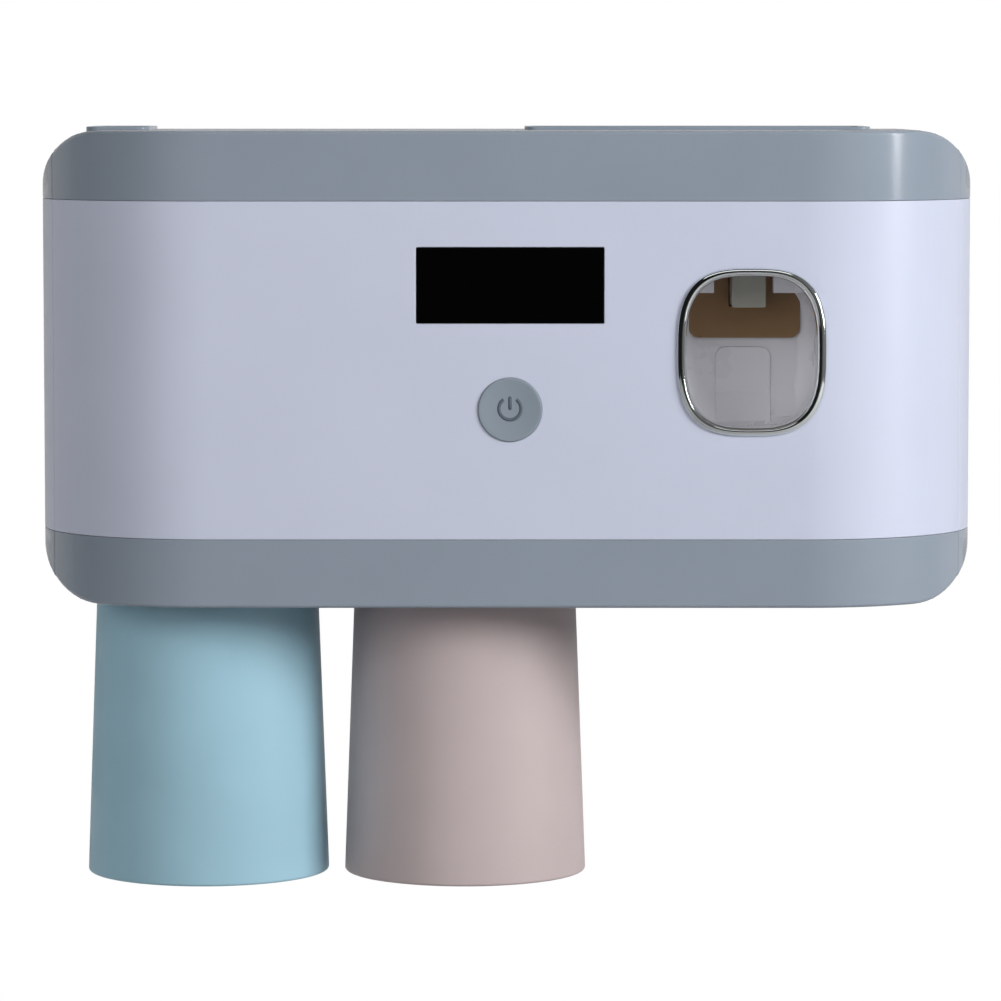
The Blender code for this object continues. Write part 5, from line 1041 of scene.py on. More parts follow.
def brush_paddle():
    """The paddle that a brush pushes, its hub and the arm that squeezes the pump."""
    front = BAY_BACK_Y - LEVER_PROUD
    rear = front + LEVER_THICKNESS
    foot = front - LEVER_FORWARD
    half = LEVER_WIDTH / 2
    side_view = [
        (front, LEVER_TOP),
        (front, LEVER_BEND),
        (foot, LEVER_FOOT),
        (foot + LEVER_THICKNESS, LEVER_FOOT),
        (rear, LEVER_BEND - LEVER_THICKNESS / 2),
        (rear, LEVER_TOP),
    ]
    paddle = slab("brush_paddle", side_view, LEVER_X, half)
    outline = wide_block(
        "paddle_outline",
        LEVER_X,
        half,
        (foot - OVERRUN, rear + OVERRUN),
        (LEVER_FOOT - OVERRUN, LEVER_TOP),
        "Y",
        LEVER_ROUND,
        10,
        only=lambda middle: middle.z > LEVER_BEND,
    )
    shared(paddle, outline)
    low_z = PIVOT_Z - HUB_RADIUS - LEVER_THICKNESS
    neck_front = front + LEVER_THICKNESS / 2
    neck_view = [
        (neck_front, low_z),
        (PIVOT_Y + HUB_RADIUS / 2, low_z),
        (PIVOT_Y + HUB_RADIUS / 2, PIVOT_Z),
        (PIVOT_Y - HUB_RADIUS / 2, PIVOT_Z),
        (PIVOT_Y - HUB_RADIUS / 2, LEVER_TOP - NECK_OVERLAP),
        (neck_front, LEVER_TOP - NECK_OVERLAP),
    ]
    fuse(paddle, slab("neck", neck_view, LEVER_X, LEVER_WIDTH / 2 - NECK_INSET))
    half = LEVER_WIDTH / 2 - FIT_GAP
    span = (LEVER_X - half, LEVER_X + half)
    fuse(paddle, bar_along("X", "hub", HUB_RADIUS, (PIVOT_Y, PIVOT_Z), span))
    arm_front = SLEEVE_Y + SLEEVE_RADIUS + ARM_GAP
    arm_rear = arm_front + ARM_THICKNESS
    arm_low = PIVOT_Z - HUB_RADIUS / 2
    arm_view = [
        (PIVOT_Y, arm_low),
        (arm_rear, arm_low),
        (arm_rear, ARM_TOP),
        (arm_front, ARM_TOP),
        (arm_front, arm_low + ARM_THICKNESS),
        (PIVOT_Y, arm_low + ARM_THICKNESS),
    ]
    fuse(paddle, slab("arm", arm_view, WINDOW_X, ARM_HALF))
    return carve(paddle, pivot_bore(LEVER_WIDTH))


def soft_sleeve():
    """The soft tube that the paddle's arm pinches from behind."""
    at = (WINDOW_X, SLEEVE_Y)
    sleeve = bar_along("Z", "soft_sleeve", SLEEVE_RADIUS, at, (SLEEVE_BOTTOM, SLEEVE_TOP))
    through = (SLEEVE_BOTTOM - OVERRUN, SLEEVE_TOP + OVERRUN)
    return carve(sleeve, bar_along("Z", "sleeve_bore", SLEEVE_BORE, at, through))


def paddle_spring():
    """The coil behind the paddle, spun along its axis."""
    shape = bmesh.new()
    ring = bmesh.ops.create_circle(shape, cap_ends=True, segments=8, radius=SPRING_WIRE)["verts"]
    start = Vector((LEVER_X + SPRING_RADIUS, SPRING_START, SPRING_Z))
    bmesh.ops.translate(shape, vec=start, verts=ring)
    steps = SPRING_TURNS * COIL_SEGMENTS
    bmesh.ops.spin(
        shape,
        geom=shape.verts[:] + shape.edges[:] + shape.faces[:],
        cent=(LEVER_X, 0, SPRING_Z),
        axis=(0, 1, 0),
        dvec=(0, SPRING_LENGTH / steps, 0),
        angle=-math.tau * SPRING_TURNS,
        steps=steps,
    )
    bmesh.ops.recalc_face_normals(shape, faces=shape.faces)
    return made_object("paddle_spring", shape)


def paste_funnel():
    """The funnel in the top that a paste tube stands in, neck down."""
    foot = FRAME_TOP + FIT_GAP
    flange = TOP_Z - TRAY_DEPTH + FIT_GAP
    top = flange + FUNNEL_FLANGE
    bore_foot = foot + (flange - foot) * FUNNEL_NECK
    profile = [
        (0.0091, top),
        (0.0092, top - 0.0001),
        (0.0092, flange),
        (FUNNEL_RADIUS, flange),
        (FUNNEL_RADIUS, CEILING_Z),
        (0.0052, bore_foot),
        (0.0052, foot),
        (0.0032, foot),
        (0.0032, bore_foot),
        (0.0062, CEILING_Z + 0.0016),
        (0.0062, top - 0.0003),
        (0.0065, top),
    ]
    return turned("paste_funnel", profile, (WINDOW_X, SLEEVE_Y, 0), closed=True)


# ---------------------------------------------------------------- the cups


def quarter_round(centre, radius, start, end, steps=6):
    points = []
    for step in range(steps + 1):
        angle = math.radians(start + (end - start) * step / steps)
        points.append((centre[0] + radius * math.cos(angle), centre[1] + radius * math.sin(angle)))
    return points


def tumbler(name, x):
    """A tapered cup hung mouth down, with a rolled rim and a recess for its steel disc."""
    mouth = -CUP_HEIGHT
    inner_mouth = CUP_MOUTH_RADIUS - CUP_WALL
    inner_base = CUP_BASE_RADIUS - CUP_WALL
    recess = DISC_RADIUS + FIT_GAP
    outer, inner, rim = CUP_OUTER_ROUND, CUP_INNER_ROUND, CUP_RIM_ROUND
    profile = [
        (AXIS_RADIUS, -DISC_RECESS),
        (recess, -DISC_RECESS),
        (recess, -DISC_CHAMFER),
        (recess + DISC_CHAMFER, 0),
    ]
    profile += quarter_round((CUP_BASE_RADIUS - outer, -outer), outer, 90, 0)
    profile += quarter_round((CUP_MOUTH_RADIUS - rim, mouth + rim), rim, 0, -90)
    profile += quarter_round((inner_mouth + rim, mouth + rim), rim, -90, -180)
    profile += quarter_round((inner_base - inner, -CUP_BASE - inner), inner, 0, 90)
    profile.append((AXIS_RADIUS, -CUP_BASE))
    return turned(name, profile, (x, CUP_Y, CUP_TOP_Z), segments=CUP_SEGMENTS)


# ---------------------------------------------------------------- finishes


def light_of(red, green, blue):
    """An eight-bit colour as linear light."""
    return tuple(
        value / 255 / 12.92 if value <= 10 else ((value / 255 + 0.055) / 1.055) ** 2.4
        for value in (red, green, blue)
    )


def shaded(colour, share):
    return (*(min(max(value * share, 0), 1) for value in colour), 1)


def feed(tree, node, values):
    """Each input takes a number or a colour as it is, and another node's output by a link."""
    for label, value in values.items():
        if isinstance(value, bpy.types.NodeSocket):
            tree.links.new(value, node.inputs[label])
        else:
            node.inputs[label].default_value = value


def new_node(tree, kind, values=None, **settings):
    node = tree.nodes.new("ShaderNode" + kind)
    for name, value in settings.items():
        setattr(node, name, value)
    feed(tree, node, values or {})
    return node


def maths(tree, operation, *values, clamp=False):
    """A Math node's result; each value is a number or another node's output."""
    values = dict(enumerate(values))
    return new_node(tree, "Math", values, operation=operation, use_clamp=clamp).outputs[0]


def spread(tree, value, low, high, to_low=0.0, to_high=1.0):
    """A smooth Map Range, kept inside its ends."""
    ends = {"From Min": low, "From Max": high, "To Min": to_low, "To Max": to_high}
    values = {"Value": value, **ends}
    return new_node(tree, "MapRange", values, interpolation_type="SMOOTHSTEP").outputs["Result"]


def noise(tree, place, scale, detail=2.0, rough=0.5):
    values = {"Vector": place, "Scale": scale, "Detail": detail, "Roughness": rough}
    return new_node(tree, "TexNoise", values).outputs["Fac"]


def patches(tree, place, scale, detail, rough=0.5):
    """Noise spread out to soft patches between 0 and 1."""
    return spread(tree, noise(tree, place, scale, detail, rough), 0.3, 0.7)


def product(tree, first, second, third):
    """Three masks multiplied and kept between 0 and 1."""
    return maths(tree, "MULTIPLY", maths(tree, "MULTIPLY", first, second), third, clamp=True)


def new_group(name, settings, outputs):
    """A node group that reads a place and some settings, and puts out numbers."""
    group = bpy.data.node_groups.new(name, "ShaderNodeTree")
    new_socket = group.interface.new_socket
    new_socket(name="Place", in_out="INPUT", socket_type="NodeSocketVector")
    for label, value in settings.items():
        made = new_socket(name=label, in_out="INPUT", socket_type="NodeSocketFloat")
        made.default_value = value
    for label in outputs:
        new_socket(name=label, in_out="OUTPUT", socket_type="NodeSocketFloat")
    entry = group.nodes.new("NodeGroupInput").outputs
    leave = group.nodes.new("NodeGroupOutput")
    return group, entry, leave


def make_moulded_skin():
    """Moulded plastic: fine tool grain, slow waves in the skin, polish and tone that drift."""
    settings = {"Grain Scale": 1600.0, "Wave Scale": 45.0}
    outputs = ("Grain Height", "Wave Height", "Polish", "Tone")
    group, entry, leave = new_group("moulded_skin", settings, outputs)
    place = entry["Place"]
    values = {
        "Grain Height": noise(group, place, entry["Grain Scale"], 3.0, 0.6),
        "Wave Height": noise(group, place, entry["Wave Scale"], 1.5, 0.4),
        "Polish": patches(group, place, 70.0, 4.0, 0.6),
        "Tone": patches(group, place, 26.0, 3.0),
    }
    feed(group, leave, values)
    return group


def make_painted_edge_highlight():
    """Painted highlight: an uneven mask of the edges that stick out, where the colour is made
    lighter.
    """
    settings = {"Reach": 0.0005, "Amount": 0.5}
    group, entry, leave = new_group("painted_edge_highlight", settings, ("Edge",))
    shape = new_node(group, "NewGeometry")
    rounded = new_node(group, "Bevel", {"Radius": entry["Reach"]}, samples=4)
    normals = {0: rounded.outputs["Normal"], 1: shape.outputs["Normal"]}
    across = new_node(group, "VectorMath", normals, operation="DOT_PRODUCT")
    turned_away = maths(group, "SUBTRACT", 1.0, across.outputs["Value"])
    edge = spread(group, turned_away, 0.01, 0.25)
    uneven = spread(group, noise(group, entry["Place"], 240.0, 3.0), 0.35, 0.65, 0.25)
    feed(group, leave, {"Edge": product(group, edge, uneven, entry["Amount"])})
    return group


def make_settled_dust():
    """A thin film of dust on what faces up."""
    group, entry, leave = new_group("settled_dust", {"Amount": 0.2}, ("Dust",))
    shape = new_node(group, "NewGeometry")
    parts = new_node(group, "SeparateXYZ", {0: shape.outputs["Normal"]})
    up = spread(group, parts.outputs["Z"], 0.6, 1.0)
    specks = spread(group, noise(group, entry["Place"], 420.0, 5.0, 0.7), 0.42, 0.75, 0.15)
    feed(group, leave, {"Dust": product(group, up, specks, entry["Amount"])})
    return group


def make_rolled_metal():
    """Metal with fine draw lines along one way, and a polish that drifts."""
    outputs = ("Line Height", "Polish", "Tone")
    group, entry, leave = new_group("rolled_metal", {"Line Scale": 900.0}, outputs)
    place = entry["Place"]
    stretch = new_node(group, "Mapping", {"Vector": place, "Scale": (0.04, 1.0, 1.0)})
    values = {
        "Line Height": noise(group, stretch.outputs["Vector"], entry["Line Scale"], 3.0, 0.6),
        "Polish": patches(group, place, 160.0, 4.0, 0.6),
        "Tone": patches(group, place, 60.0, 2.0),
    }
    feed(group, leave, values)
    return group


MOULDED_SKIN = make_moulded_skin()
PAINTED_EDGE_HIGHLIGHT = make_painted_edge_highlight()
SETTLED_DUST = make_settled_dust()
ROLLED_METAL = make_rolled_metal()


def blank_finish(name):
    """A material with its Principled shader, and the object's own coordinates."""
    made = bpy.data.materials.new(name)
    made.use_nodes = True
    tree = made.node_tree
    place = new_node(tree, "TexCoord").outputs["Object"]
    return made, tree, tree.nodes["Principled BSDF"], place


def use_group(tree, group, place, **values):
    values = {key.replace("_", " "): value for key, value in values.items()}
    return new_node(tree, "Group", {"Place": place, **values}, node_tree=group).outputs


def blend_colour(tree, mask, first, second):
    """One colour over another by a mask."""
    values = {"Factor": mask, 6: first, 7: second}
    return new_node(tree, "Mix", values, data_type="RGBA").outputs[2]


def bumped(tree, height, depth, **values):
    values = {"Strength": 1.0, "Distance": depth, "Height": height, **values}
    return new_node(tree, "Bump", values).outputs["Normal"]


def plastic_finish(
    name,
    colour,
    roughness,
    grain=1600.0,
    grain_depth=0.0000012,
    wave_depth=0.000008,
    drift=0.03,
    edge=0.35,
    dust=0.12,
    specular=0.5,
    clear=0.0,
    soft_light=0.0,
):
    """A moulded plastic: its colour drifts a little, a painted highlight lightens its edges, dust
    lies on top.
    """
    made, tree, shader, place = blank_finish(name)
    skin = use_group(tree, MOULDED_SKIN, place, Grain_Scale=grain)
    # Painted highlight: a mask of the edges that stick out, as strong as edge sets it.
    painted_edge_light = use_group(tree, PAINTED_EDGE_HIGHLIGHT, place, Amount=edge)["Edge"]
    film = use_group(tree, SETTLED_DUST, place, Amount=dust)["Dust"]
    base = blend_colour(tree, skin["Tone"], shaded(colour, 1 - drift), shaded(colour, 1 + drift))
    # Painted highlight: the colour on those edges is lightened towards white.
    edge_highlight_colour = tuple(value + (1 - value) * 0.35 for value in colour)
    base = blend_colour(tree, painted_edge_light, base, shaded(edge_highlight_colour, 1))
    base = blend_colour(tree, film, base, (0.62, 0.61, 0.58, 1))
    gloss = spread(tree, skin["Polish"], 0.0, 1.0, roughness * 0.9, roughness * 1.12)
    gloss = maths(tree, "ADD", gloss, maths(tree, "MULTIPLY", film, 0.3), clamp=True)
    waves = bumped(tree, skin["Wave Height"], wave_depth)
    values = {
        "Base Color": base,
        "Roughness": gloss,
        "Normal": bumped(tree, skin["Grain Height"], grain_depth, Normal=waves),
        "Specular IOR Level": specular,
        "Transmission Weight": clear,
    }
    feed(tree, shader, values)
    if soft_light:
        feed(tree, shader, {"Subsurface Weight": soft_light, "Subsurface Scale": 0.002})
    return made


def metal_finish(name, colour, roughness, line_depth=0.000002, edge=0.3):
    """Metal with draw lines, and a painted highlight that brightens its edges."""
    made, tree, shader, place = blank_finish(name)
    worked = use_group(tree, ROLLED_METAL, place)
    # Painted highlight: a mask of the edges that stick out.
    painted_edge_light = use_group(tree, PAINTED_EDGE_HIGHLIGHT, place, Amount=edge)["Edge"]
    base = blend_colour(tree, worked["Tone"], shaded(colour, 0.94), shaded(colour, 1.04))
    values = {
        # Painted highlight: the colour on the edges is made brighter.
        "Base Color": blend_colour(tree, painted_edge_light, base, shaded(colour, 1.2)),
        "Roughness": spread(tree, worked["Polish"], 0.0, 1.0, roughness * 0.8, roughness * 1.25),
        "Normal": bumped(tree, worked["Line Height"], line_depth),
        "Metallic": 1.0,
    }
    feed(tree, shader, values)
    return made


def board_finish(name, solder_mask, copper):
    """A printed circuit board: solder mask with tracks under it and tinned pads."""
    made, tree, shader, place = blank_finish(name)
    turn = new_node(tree, "Mapping", {"Vector": place, "Rotation": (math.radians(90), 0, 0)})
    laying = {
        "Vector": turn.outputs["Vector"],
        "Scale": 170.0,
        "Mortar Size": 0.06,
        "Mortar Smooth": 0.2,
        "Brick Width": 1.1,
        "Row Height": 0.34,
    }
    tracks = new_node(tree, "TexBrick", laying).outputs["Fac"]
    pads = spread(tree, noise(tree, place, 420.0, 0.0), 0.68, 0.72)
    base = blend_colour(tree, tracks, shaded(solder_mask, 1.0), shaded(solder_mask, 1.7))
    values = {
        "Base Color": blend_colour(tree, pads, base, shaded(copper, 1.0)),
        "Roughness": spread(tree, pads, 0.0, 1.0, 0.42, 0.25),
        "Metallic": pads,
        "Normal": bumped(tree, tracks, 0.00003),
    }
    feed(tree, shader, values)
    return made


def foam_finish(name, colour):
    """Open foam with small cells, whose hollows are darkened with painted shade."""
    made, tree, shader, place = blank_finish(name)
    cells = new_node(tree, "TexVoronoi", {"Vector": place, "Scale": 900.0})
    depth = spread(tree, cells.outputs["Distance"], 0.0, 0.6)
    values = {
        # Painted shade: the colour is darker where the cells sink in.
        "Base Color": blend_colour(tree, depth, shaded(colour, 0.55), shaded(colour, 1.08)),
        "Roughness": spread(tree, depth, 0.0, 1.0, 0.95, 0.8),
        "Normal": bumped(tree, depth, 0.0002),
    }
    feed(tree, shader, values)
    return made


COVER_WHITE = light_of(196, 201, 219)
CAP_GREY = light_of(138, 148, 160)
KEY_GREY = light_of(134, 145, 156)
BAY_WHITE = light_of(229, 229, 234)
SPOUT_GREY = light_of(160, 159, 150)
CUP_BLUE = light_of(156, 194, 210)
CUP_PINK = light_of(190, 175, 175)

WHITE_SHELL = plastic_finish("white_shell", COVER_WHITE, 0.34, wave_depth=0.000006, drift=0.012)
GREY_CAP = plastic_finish("grey_cap", CAP_GREY, 0.19, wave_depth=0.00001, drift=0.02)
KEY_CAP = plastic_finish("key_cap", KEY_GREY, 0.36, drift=0.02)
MARK_INK = plastic_finish("mark_ink", light_of(88, 97, 107), 0.5, edge=0.0, dust=0.0)
BAY_LINING = plastic_finish(
    "bay_lining", BAY_WHITE, 0.3, wave_depth=0.000002, drift=0.008, edge=0.05, dust=0.0
)
SPOUT_PLASTIC = plastic_finish("spout_plastic", SPOUT_GREY, 0.34)
CUP_SKIN = {"grain": 1200.0, "grain_depth": 0.000003}
BLUE_CUP = plastic_finish("blue_cup_wall", CUP_BLUE, 0.5, **CUP_SKIN)
PINK_CUP = plastic_finish("pink_cup_wall", CUP_PINK, 0.5, **CUP_SKIN)
DISPLAY_BLACK = plastic_finish(
    "display_black",
    light_of(3, 3, 4),
    0.08,
    grain_depth=0.0000002,
    edge=0.05,
    dust=0.02,
    specular=0.12,
)
BLACK_BODY = plastic_finish("black_body", light_of(28, 28, 29), 0.5, edge=0.3)
AMBER_GUARD = plastic_finish(
    "amber_guard", light_of(143, 112, 79), 0.3, drift=0.06, edge=0.1, dust=0.0
)
MILKY_SILICONE = plastic_finish("milky_silicone", light_of(214, 214, 208), 0.55, soft_light=0.1)
CELL_SLEEVE = plastic_finish("cell_sleeve", light_of(40, 92, 168), 0.3, wave_depth=0.00002)
LEAD_JACKET = plastic_finish("lead_jacket", light_of(178, 34, 30), 0.45)
LAMP_BODY = plastic_finish("lamp_body", light_of(230, 224, 178), 0.35)
CLEAR_LENS = plastic_finish(
    "clear_lens", light_of(232, 238, 242), 0.06, clear=0.85, edge=0.0, dust=0.0
)
RING_CHROME = metal_finish("ring_chrome", (0.84, 0.87, 0.87), 0.07, line_depth=0.0000005, edge=0.1)
SCREW_STEEL = metal_finish("screw_steel", (0.52, 0.52, 0.53), 0.32)
SPRING_STEEL = metal_finish("spring_steel", (0.46, 0.46, 0.47), 0.28)
BRIGHT_NICKEL = metal_finish("bright_nickel", (0.62, 0.60, 0.57), 0.2)
SOCKET_STEEL = metal_finish("socket_steel", (0.58, 0.58, 0.59), 0.26)
BOARD_GREEN = board_finish("board_green", light_of(24, 88, 52), (0.62, 0.60, 0.55))
PAD_FOAM = foam_finish("pad_foam_cells", light_of(150, 150, 147))


# ---------------------------------------------------------------- pieces put together


def ease(piece, width, segments=2, degrees=38):
    """Small rounds on the crisp edges, and normals that keep the flats flat."""
    round_off = piece.modifiers.new("Eased edges", "BEVEL")
    round_off.width = width
    round_off.segments = segments
    round_off.limit_method = "ANGLE"
    round_off.angle_limit = math.radians(degrees)
    round_off.use_clamp_overlap = False
    even = piece.modifiers.new("Even normals", "WEIGHTED_NORMAL")
    even.weight = 50
    even.keep_sharp = True


def cleaned(piece):
    """Doubles merged and flat faces joined, so that an eased edge runs clean."""
    reach = 0.00002
    shape = bmesh.new()
    shape.from_mesh(piece.data)
    bmesh.ops.remove_doubles(shape, verts=shape.verts, dist=reach)
    bmesh.ops.dissolve_degenerate(shape, dist=reach, edges=shape.edges)
    bmesh.ops.dissolve_limit(
        shape,
        angle_limit=math.radians(0.4),
        verts=shape.verts,
        edges=shape.edges,
        delimit=set(),
    )
    shape.to_mesh(piece.data)
    shape.free()
    return piece


def fit_piece(piece, body, finish, node=None, width=SHELL_EASE, segments=2, degrees=38):
    """A finished piece on its body, in place of its solid."""
    piece.data.materials.clear()
    piece.data.materials.append(finish)
    piece.data.shade_smooth()
    if width:
        ease(cleaned(piece), width, segments, degrees)
    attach(piece, body)
    if node:
        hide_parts(node)
    return piece


def dress(finish, *nodes, width=SMALL_EASE, segments=2):
    """Solids that stay get their finish and eased edges."""
    for node in nodes:
        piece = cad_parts[node]
        piece.data.materials.clear()
        piece.data.materials.append(finish)
        for polygon in piece.data.polygons:
            polygon.use_smooth = True
        weld = piece.modifiers.new("Joined faces", "WELD")
        weld.merge_threshold = 0.000005
        ease(piece, width, segments, 32)


def fit_cover():
    body, grey = "front_cover", "grey_plastic"
    fit_piece(cover_face(), body, WHITE_SHELL, "front_panel")
    fit_piece(cover_top_cap(), body, GREY_CAP, "door_top_band")
    fit_piece(cover_bottom_cap(), body, GREY_CAP, "door_bottom_band")
    fit_piece(window_ring(), body, RING_CHROME, "bezel_ring", 0)
    fit_piece(display_glass(), body, DISPLAY_BLACK, "display_lens", FINE_EASE)
    dress(BLACK_BODY, "display_module", "tact_switch", "battery_holder")
    dress(BOARD_GREEN, "control_board", "uv_lamp_board", width=FINE_EASE)
    dress(CELL_SLEEVE, "battery_cell", width=BROAD_EASE, segments=3)
    leads = ("battery_lead_left", "battery_lead_right", "uv_lamp_lead")
    dress(LEAD_JACKET, *leads, width=FINE_EASE)
    dress(LAMP_BODY, "uv_lamp_1", "uv_lamp_2", "uv_lamp_3", width=FULL_EASE, segments=3)
    dress(CLEAR_LENS, "uv_lamp_cover", width=SOFT_EASE)
    dress(BAY_LINING, "electronics_cover", width=BROAD_EASE, segments=3)
    dress(SCREW_STEEL, "cover_screw_1", "cover_screw_2", width=FINE_EASE)
    dress(SOCKET_STEEL, "usb_socket", width=FINE_EASE)
    dress(BRIGHT_NICKEL, "catch_magnet_left", "catch_magnet_right", width=SOFT_EASE)


def fit_button():
    fit_piece(power_key(), "button", KEY_CAP, "power_button", 0)
    fit_piece(power_mark(), "button", MARK_INK, None, 0)


def fit_housing():
    body, grey = "holder_body", "grey_plastic"
    fit_piece(housing_back(), body, WHITE_SHELL, "rear_housing")
    fit_piece(housing_top(), body, GREY_CAP, "top_cap")
    fit_piece(housing_floor(), body, GREY_CAP, "base_cap")
    fit_piece(paste_funnel(), body, GREY_CAP, "tube_seat", 0)
    dress(BAY_LINING, "brush_rack")
    for side in ("left", "right"):
        dress(BRIGHT_NICKEL, f"dock_magnet_{side}", width=FULL_EASE)
        dress(BAY_LINING, f"magnet_retainer_{side}", width=SOFT_EASE)
        dress(SCREW_STEEL, f"hinge_pin_{side}", f"catch_plate_{side}", width=FINE_EASE)
    screws = [f"housing_screw_{index}" for index in range(1, 5)]
    dress(SCREW_STEEL, *screws, width=FINE_EASE)


def fit_dispenser():
    body, white = "holder_body", "inner_white"
    fit_piece(dispenser_bay(), body, BAY_LINING, "dispenser_frame", FINE_EASE)
    fit_piece(light_guard(), body, AMBER_GUARD, "uv_shield", SMALL_EASE)
    fit_piece(paste_spout(), body, SPOUT_PLASTIC, "nozzle", SOFT_EASE)
    fit_piece(brush_paddle(), "lever", BAY_LINING, "push_lever", PADDLE_EASE, 3, 25)
    screws = ("dispenser_screw_1", "dispenser_screw_2", "lever_pin")
    dress(SCREW_STEEL, *screws, width=FINE_EASE)
    dress(MILKY_SILICONE, "inlet_valve", "outlet_valve", width=FINE_EASE)
    sleeve = fit_piece(soft_sleeve(), body, MILKY_SILICONE, "pump_sleeve", 0)
    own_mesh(sleeve)
    spring = fit_piece(paddle_spring(), body, SPRING_STEEL, "return_spring", 0)
    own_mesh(spring)


def fit_cups():
    cups = (
        ("blue_tumbler", CUP_XS[0], "left_cup", "blue_plastic", BLUE_CUP, "blue_cup"),
        ("pink_tumbler", CUP_XS[1], "right_cup", "pink_plastic", PINK_CUP, "pink_cup"),
    )
    for name, x, body, slot, finish, node in cups:
        fit_piece(tumbler(name, x), body, finish, node, 0)
        dress(SCREW_STEEL, f"{node}_disc", width=SOFT_EASE)


def fit_wall_plate():
    dress(WHITE_SHELL, "wall_bracket", width=FULL_EASE)
    dress(PAD_FOAM, "adhesive_pad", width=FINE_EASE)


# ---------------------------------------------------------------- studio and camera


def aimed_lamp(name, place, target, size, power, mirrored=False):
    """A soft rectangular lamp turned towards a point, either lighting things or mirrored."""
    lamp = bpy.data.lights.new(name, "AREA")
    lamp.shape = "RECTANGLE"
    lamp.size, lamp.size_y = size
    lamp.energy = power
    made = bpy.data.objects.new(name, lamp)
    bpy.context.scene.collection.objects.link(made)
    made.visible_glossy = mirrored
    made.visible_diffuse = not mirrored
    made.location = place
    made.rotation_euler = (Vector(target) - Vector(place)).to_track_quat("-Z", "Y").to_euler()
    return made


def set_lamps():
    middle = (0, -0.05, -0.02)
    aimed_lamp("key", (1.181, -0.846, 0.50), middle, (0.68, 0.70), 22.5)
    aimed_lamp("front_top", (0.184, -1.361, 0.684), middle, (0.8, 0.7), 2.6)
    aimed_lamp("front_fill", (-0.670, -1.310, 0.444), middle, (0.8, 0.9), 4.9)
    aimed_lamp("left_fill", (-1.42, -0.30, 0.36), middle, (0.7, 0.9), 2.7)
    aimed_lamp("rear_fill", (0.0, 1.45, 0.55), middle, (1.0, 1.0), 24.0)
    nose = (0.118, -0.09, 0.05)
    aimed_lamp("end_gleam", (1.4426, -0.6798, 0.36), nose, (0.075, 0.62), 6.0, True)
    aimed_lamp("rim_gleam", (0.0, -0.75, 1.15), middle, (1.2, 0.35), 1.6, True)


def mixed(tree, share, first, second):
    """Two shaders' outputs mixed."""
    return new_node(tree, "MixShader", {0: share, 1: first, 2: second}).outputs[0]


def set_world():
    """White behind the object, dim in front of it, and even light all round."""
    world = bpy.data.worlds.new("studio")
    bpy.context.scene.world = world
    world.use_nodes = True
    tree = world.node_tree
    tree.nodes.clear()
    sight = new_node(tree, "LightPath").outputs
    heading = new_node(tree, "TexCoord").outputs["Generated"]
    ways = new_node(tree, "SeparateXYZ", {0: heading}).outputs
    room = new_node(tree, "Background", {"Color": (0.93, 0.96, 1.0, 1), "Strength": 0.02})
    behind = spread(tree, ways["Y"], 0.0, 0.5, 0.0, 0.62)
    ahead = spread(tree, ways["X"], -0.2, 0.8, 0.01, 0.16)
    glimpse = maths(tree, "MAXIMUM", behind, ahead)
    seen = maths(tree, "MAXIMUM", sight["Is Camera Ray"], sight["Is Transmission Ray"])
    strength = maths(tree, "MAXIMUM", seen, glimpse)
    backdrop = new_node(tree, "Background", {"Color": (1, 1, 1, 1), "Strength": strength})
    white = maths(tree, "MAXIMUM", seen, sight["Is Glossy Ray"], clamp=True)
    shown = mixed(tree, white, room.outputs[0], backdrop.outputs[0])
    new_node(tree, "OutputWorld", {"Surface": shown})


PAPER_Z = -0.215
PAPER_HALF_WIDTH = 1.3
PAPER_HALF_DEPTH = 0.75
PAPER_Y = -0.70


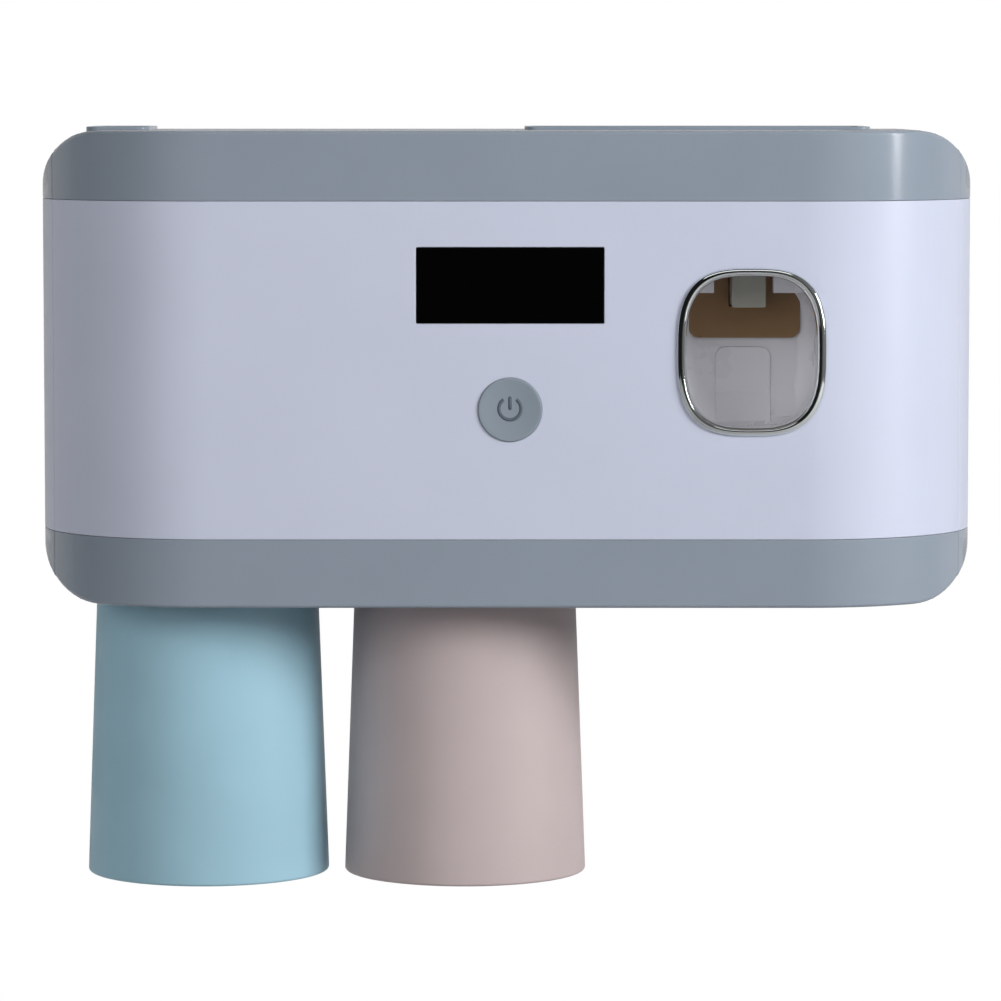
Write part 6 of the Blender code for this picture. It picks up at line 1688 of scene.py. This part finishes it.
def set_floor():
    """A pale floor below the cups that keeps their shadow, and can't be seen from below."""
    shape = bmesh.new()
    bmesh.ops.create_grid(shape, x_segments=1, y_segments=1, size=1)
    bmesh.ops.scale(shape, vec=(PAPER_HALF_WIDTH, PAPER_HALF_DEPTH, 1), verts=shape.verts)
    bmesh.ops.translate(shape, vec=(0, PAPER_Y, PAPER_Z), verts=shape.verts)
    floor = made_object("floor", shape)
    made, tree, shader, place = blank_finish("floor_paper")
    tooth = noise(tree, place, 300.0, 4.0)
    base = blend_colour(tree, tooth, (0.80, 0.80, 0.80, 1), (0.84, 0.84, 0.84, 1))
    feed(tree, shader, {"Base Color": base, "Roughness": 0.9})
    glow = new_node(tree, "Emission", {"Color": (1, 1, 1, 1)})
    camera_ray = new_node(tree, "LightPath").outputs["Is Camera Ray"]
    under = {0: place, 1: (0, -0.05, PAPER_Z)}
    away = new_node(tree, "VectorMath", under, operation="DISTANCE").outputs["Value"]
    far = spread(tree, away, 0.20, 0.60, 0.55, 1.0)
    axes = new_node(tree, "SeparateXYZ", {0: place}).outputs
    wall_side = spread(tree, axes["Y"], -0.20, 0.03)
    lift = maths(tree, "MULTIPLY", camera_ray, maths(tree, "MAXIMUM", far, wall_side))
    lifted = mixed(tree, lift, shader.outputs[0], glow.outputs[0])
    below = new_node(tree, "NewGeometry").outputs["Backfacing"]
    through = new_node(tree, "BsdfTransparent")
    other_rays = maths(tree, "MULTIPLY", maths(tree, "SUBTRACT", 1.0, camera_ray), 0.5)
    clear = maths(tree, "MAXIMUM", below, other_rays)
    shown = mixed(tree, clear, lifted, through.outputs[0])
    feed(tree, tree.nodes["Material Output"], {"Surface": shown})
    floor.data.materials.append(made)


CAMERA_PLACE = (-0.0018, -1.5715, 0.0816)
CAMERA_TILT = 0.081
CAMERA_LENS = 181.4


def set_camera():
    """Level with the window's centre line, looking slightly down, from the photo's distance."""
    camera = bpy.data.cameras.new("camera")
    camera.sensor_width = 36
    camera.lens = CAMERA_LENS
    camera.clip_start = 0.05
    camera.clip_end = 50
    made = bpy.data.objects.new("camera", camera)
    bpy.context.scene.collection.objects.link(made)
    made.location = CAMERA_PLACE
    made.rotation_euler = (math.pi / 2 - CAMERA_TILT, 0, 0)
    bpy.context.scene.camera = made
    bpy.context.scene.view_settings.view_transform = "Standard"


fit_cover()
fit_button()
fit_housing()
fit_dispenser()
fit_cups()
fit_wall_plate()
set_lamps()
set_world()
set_floor()
set_camera()
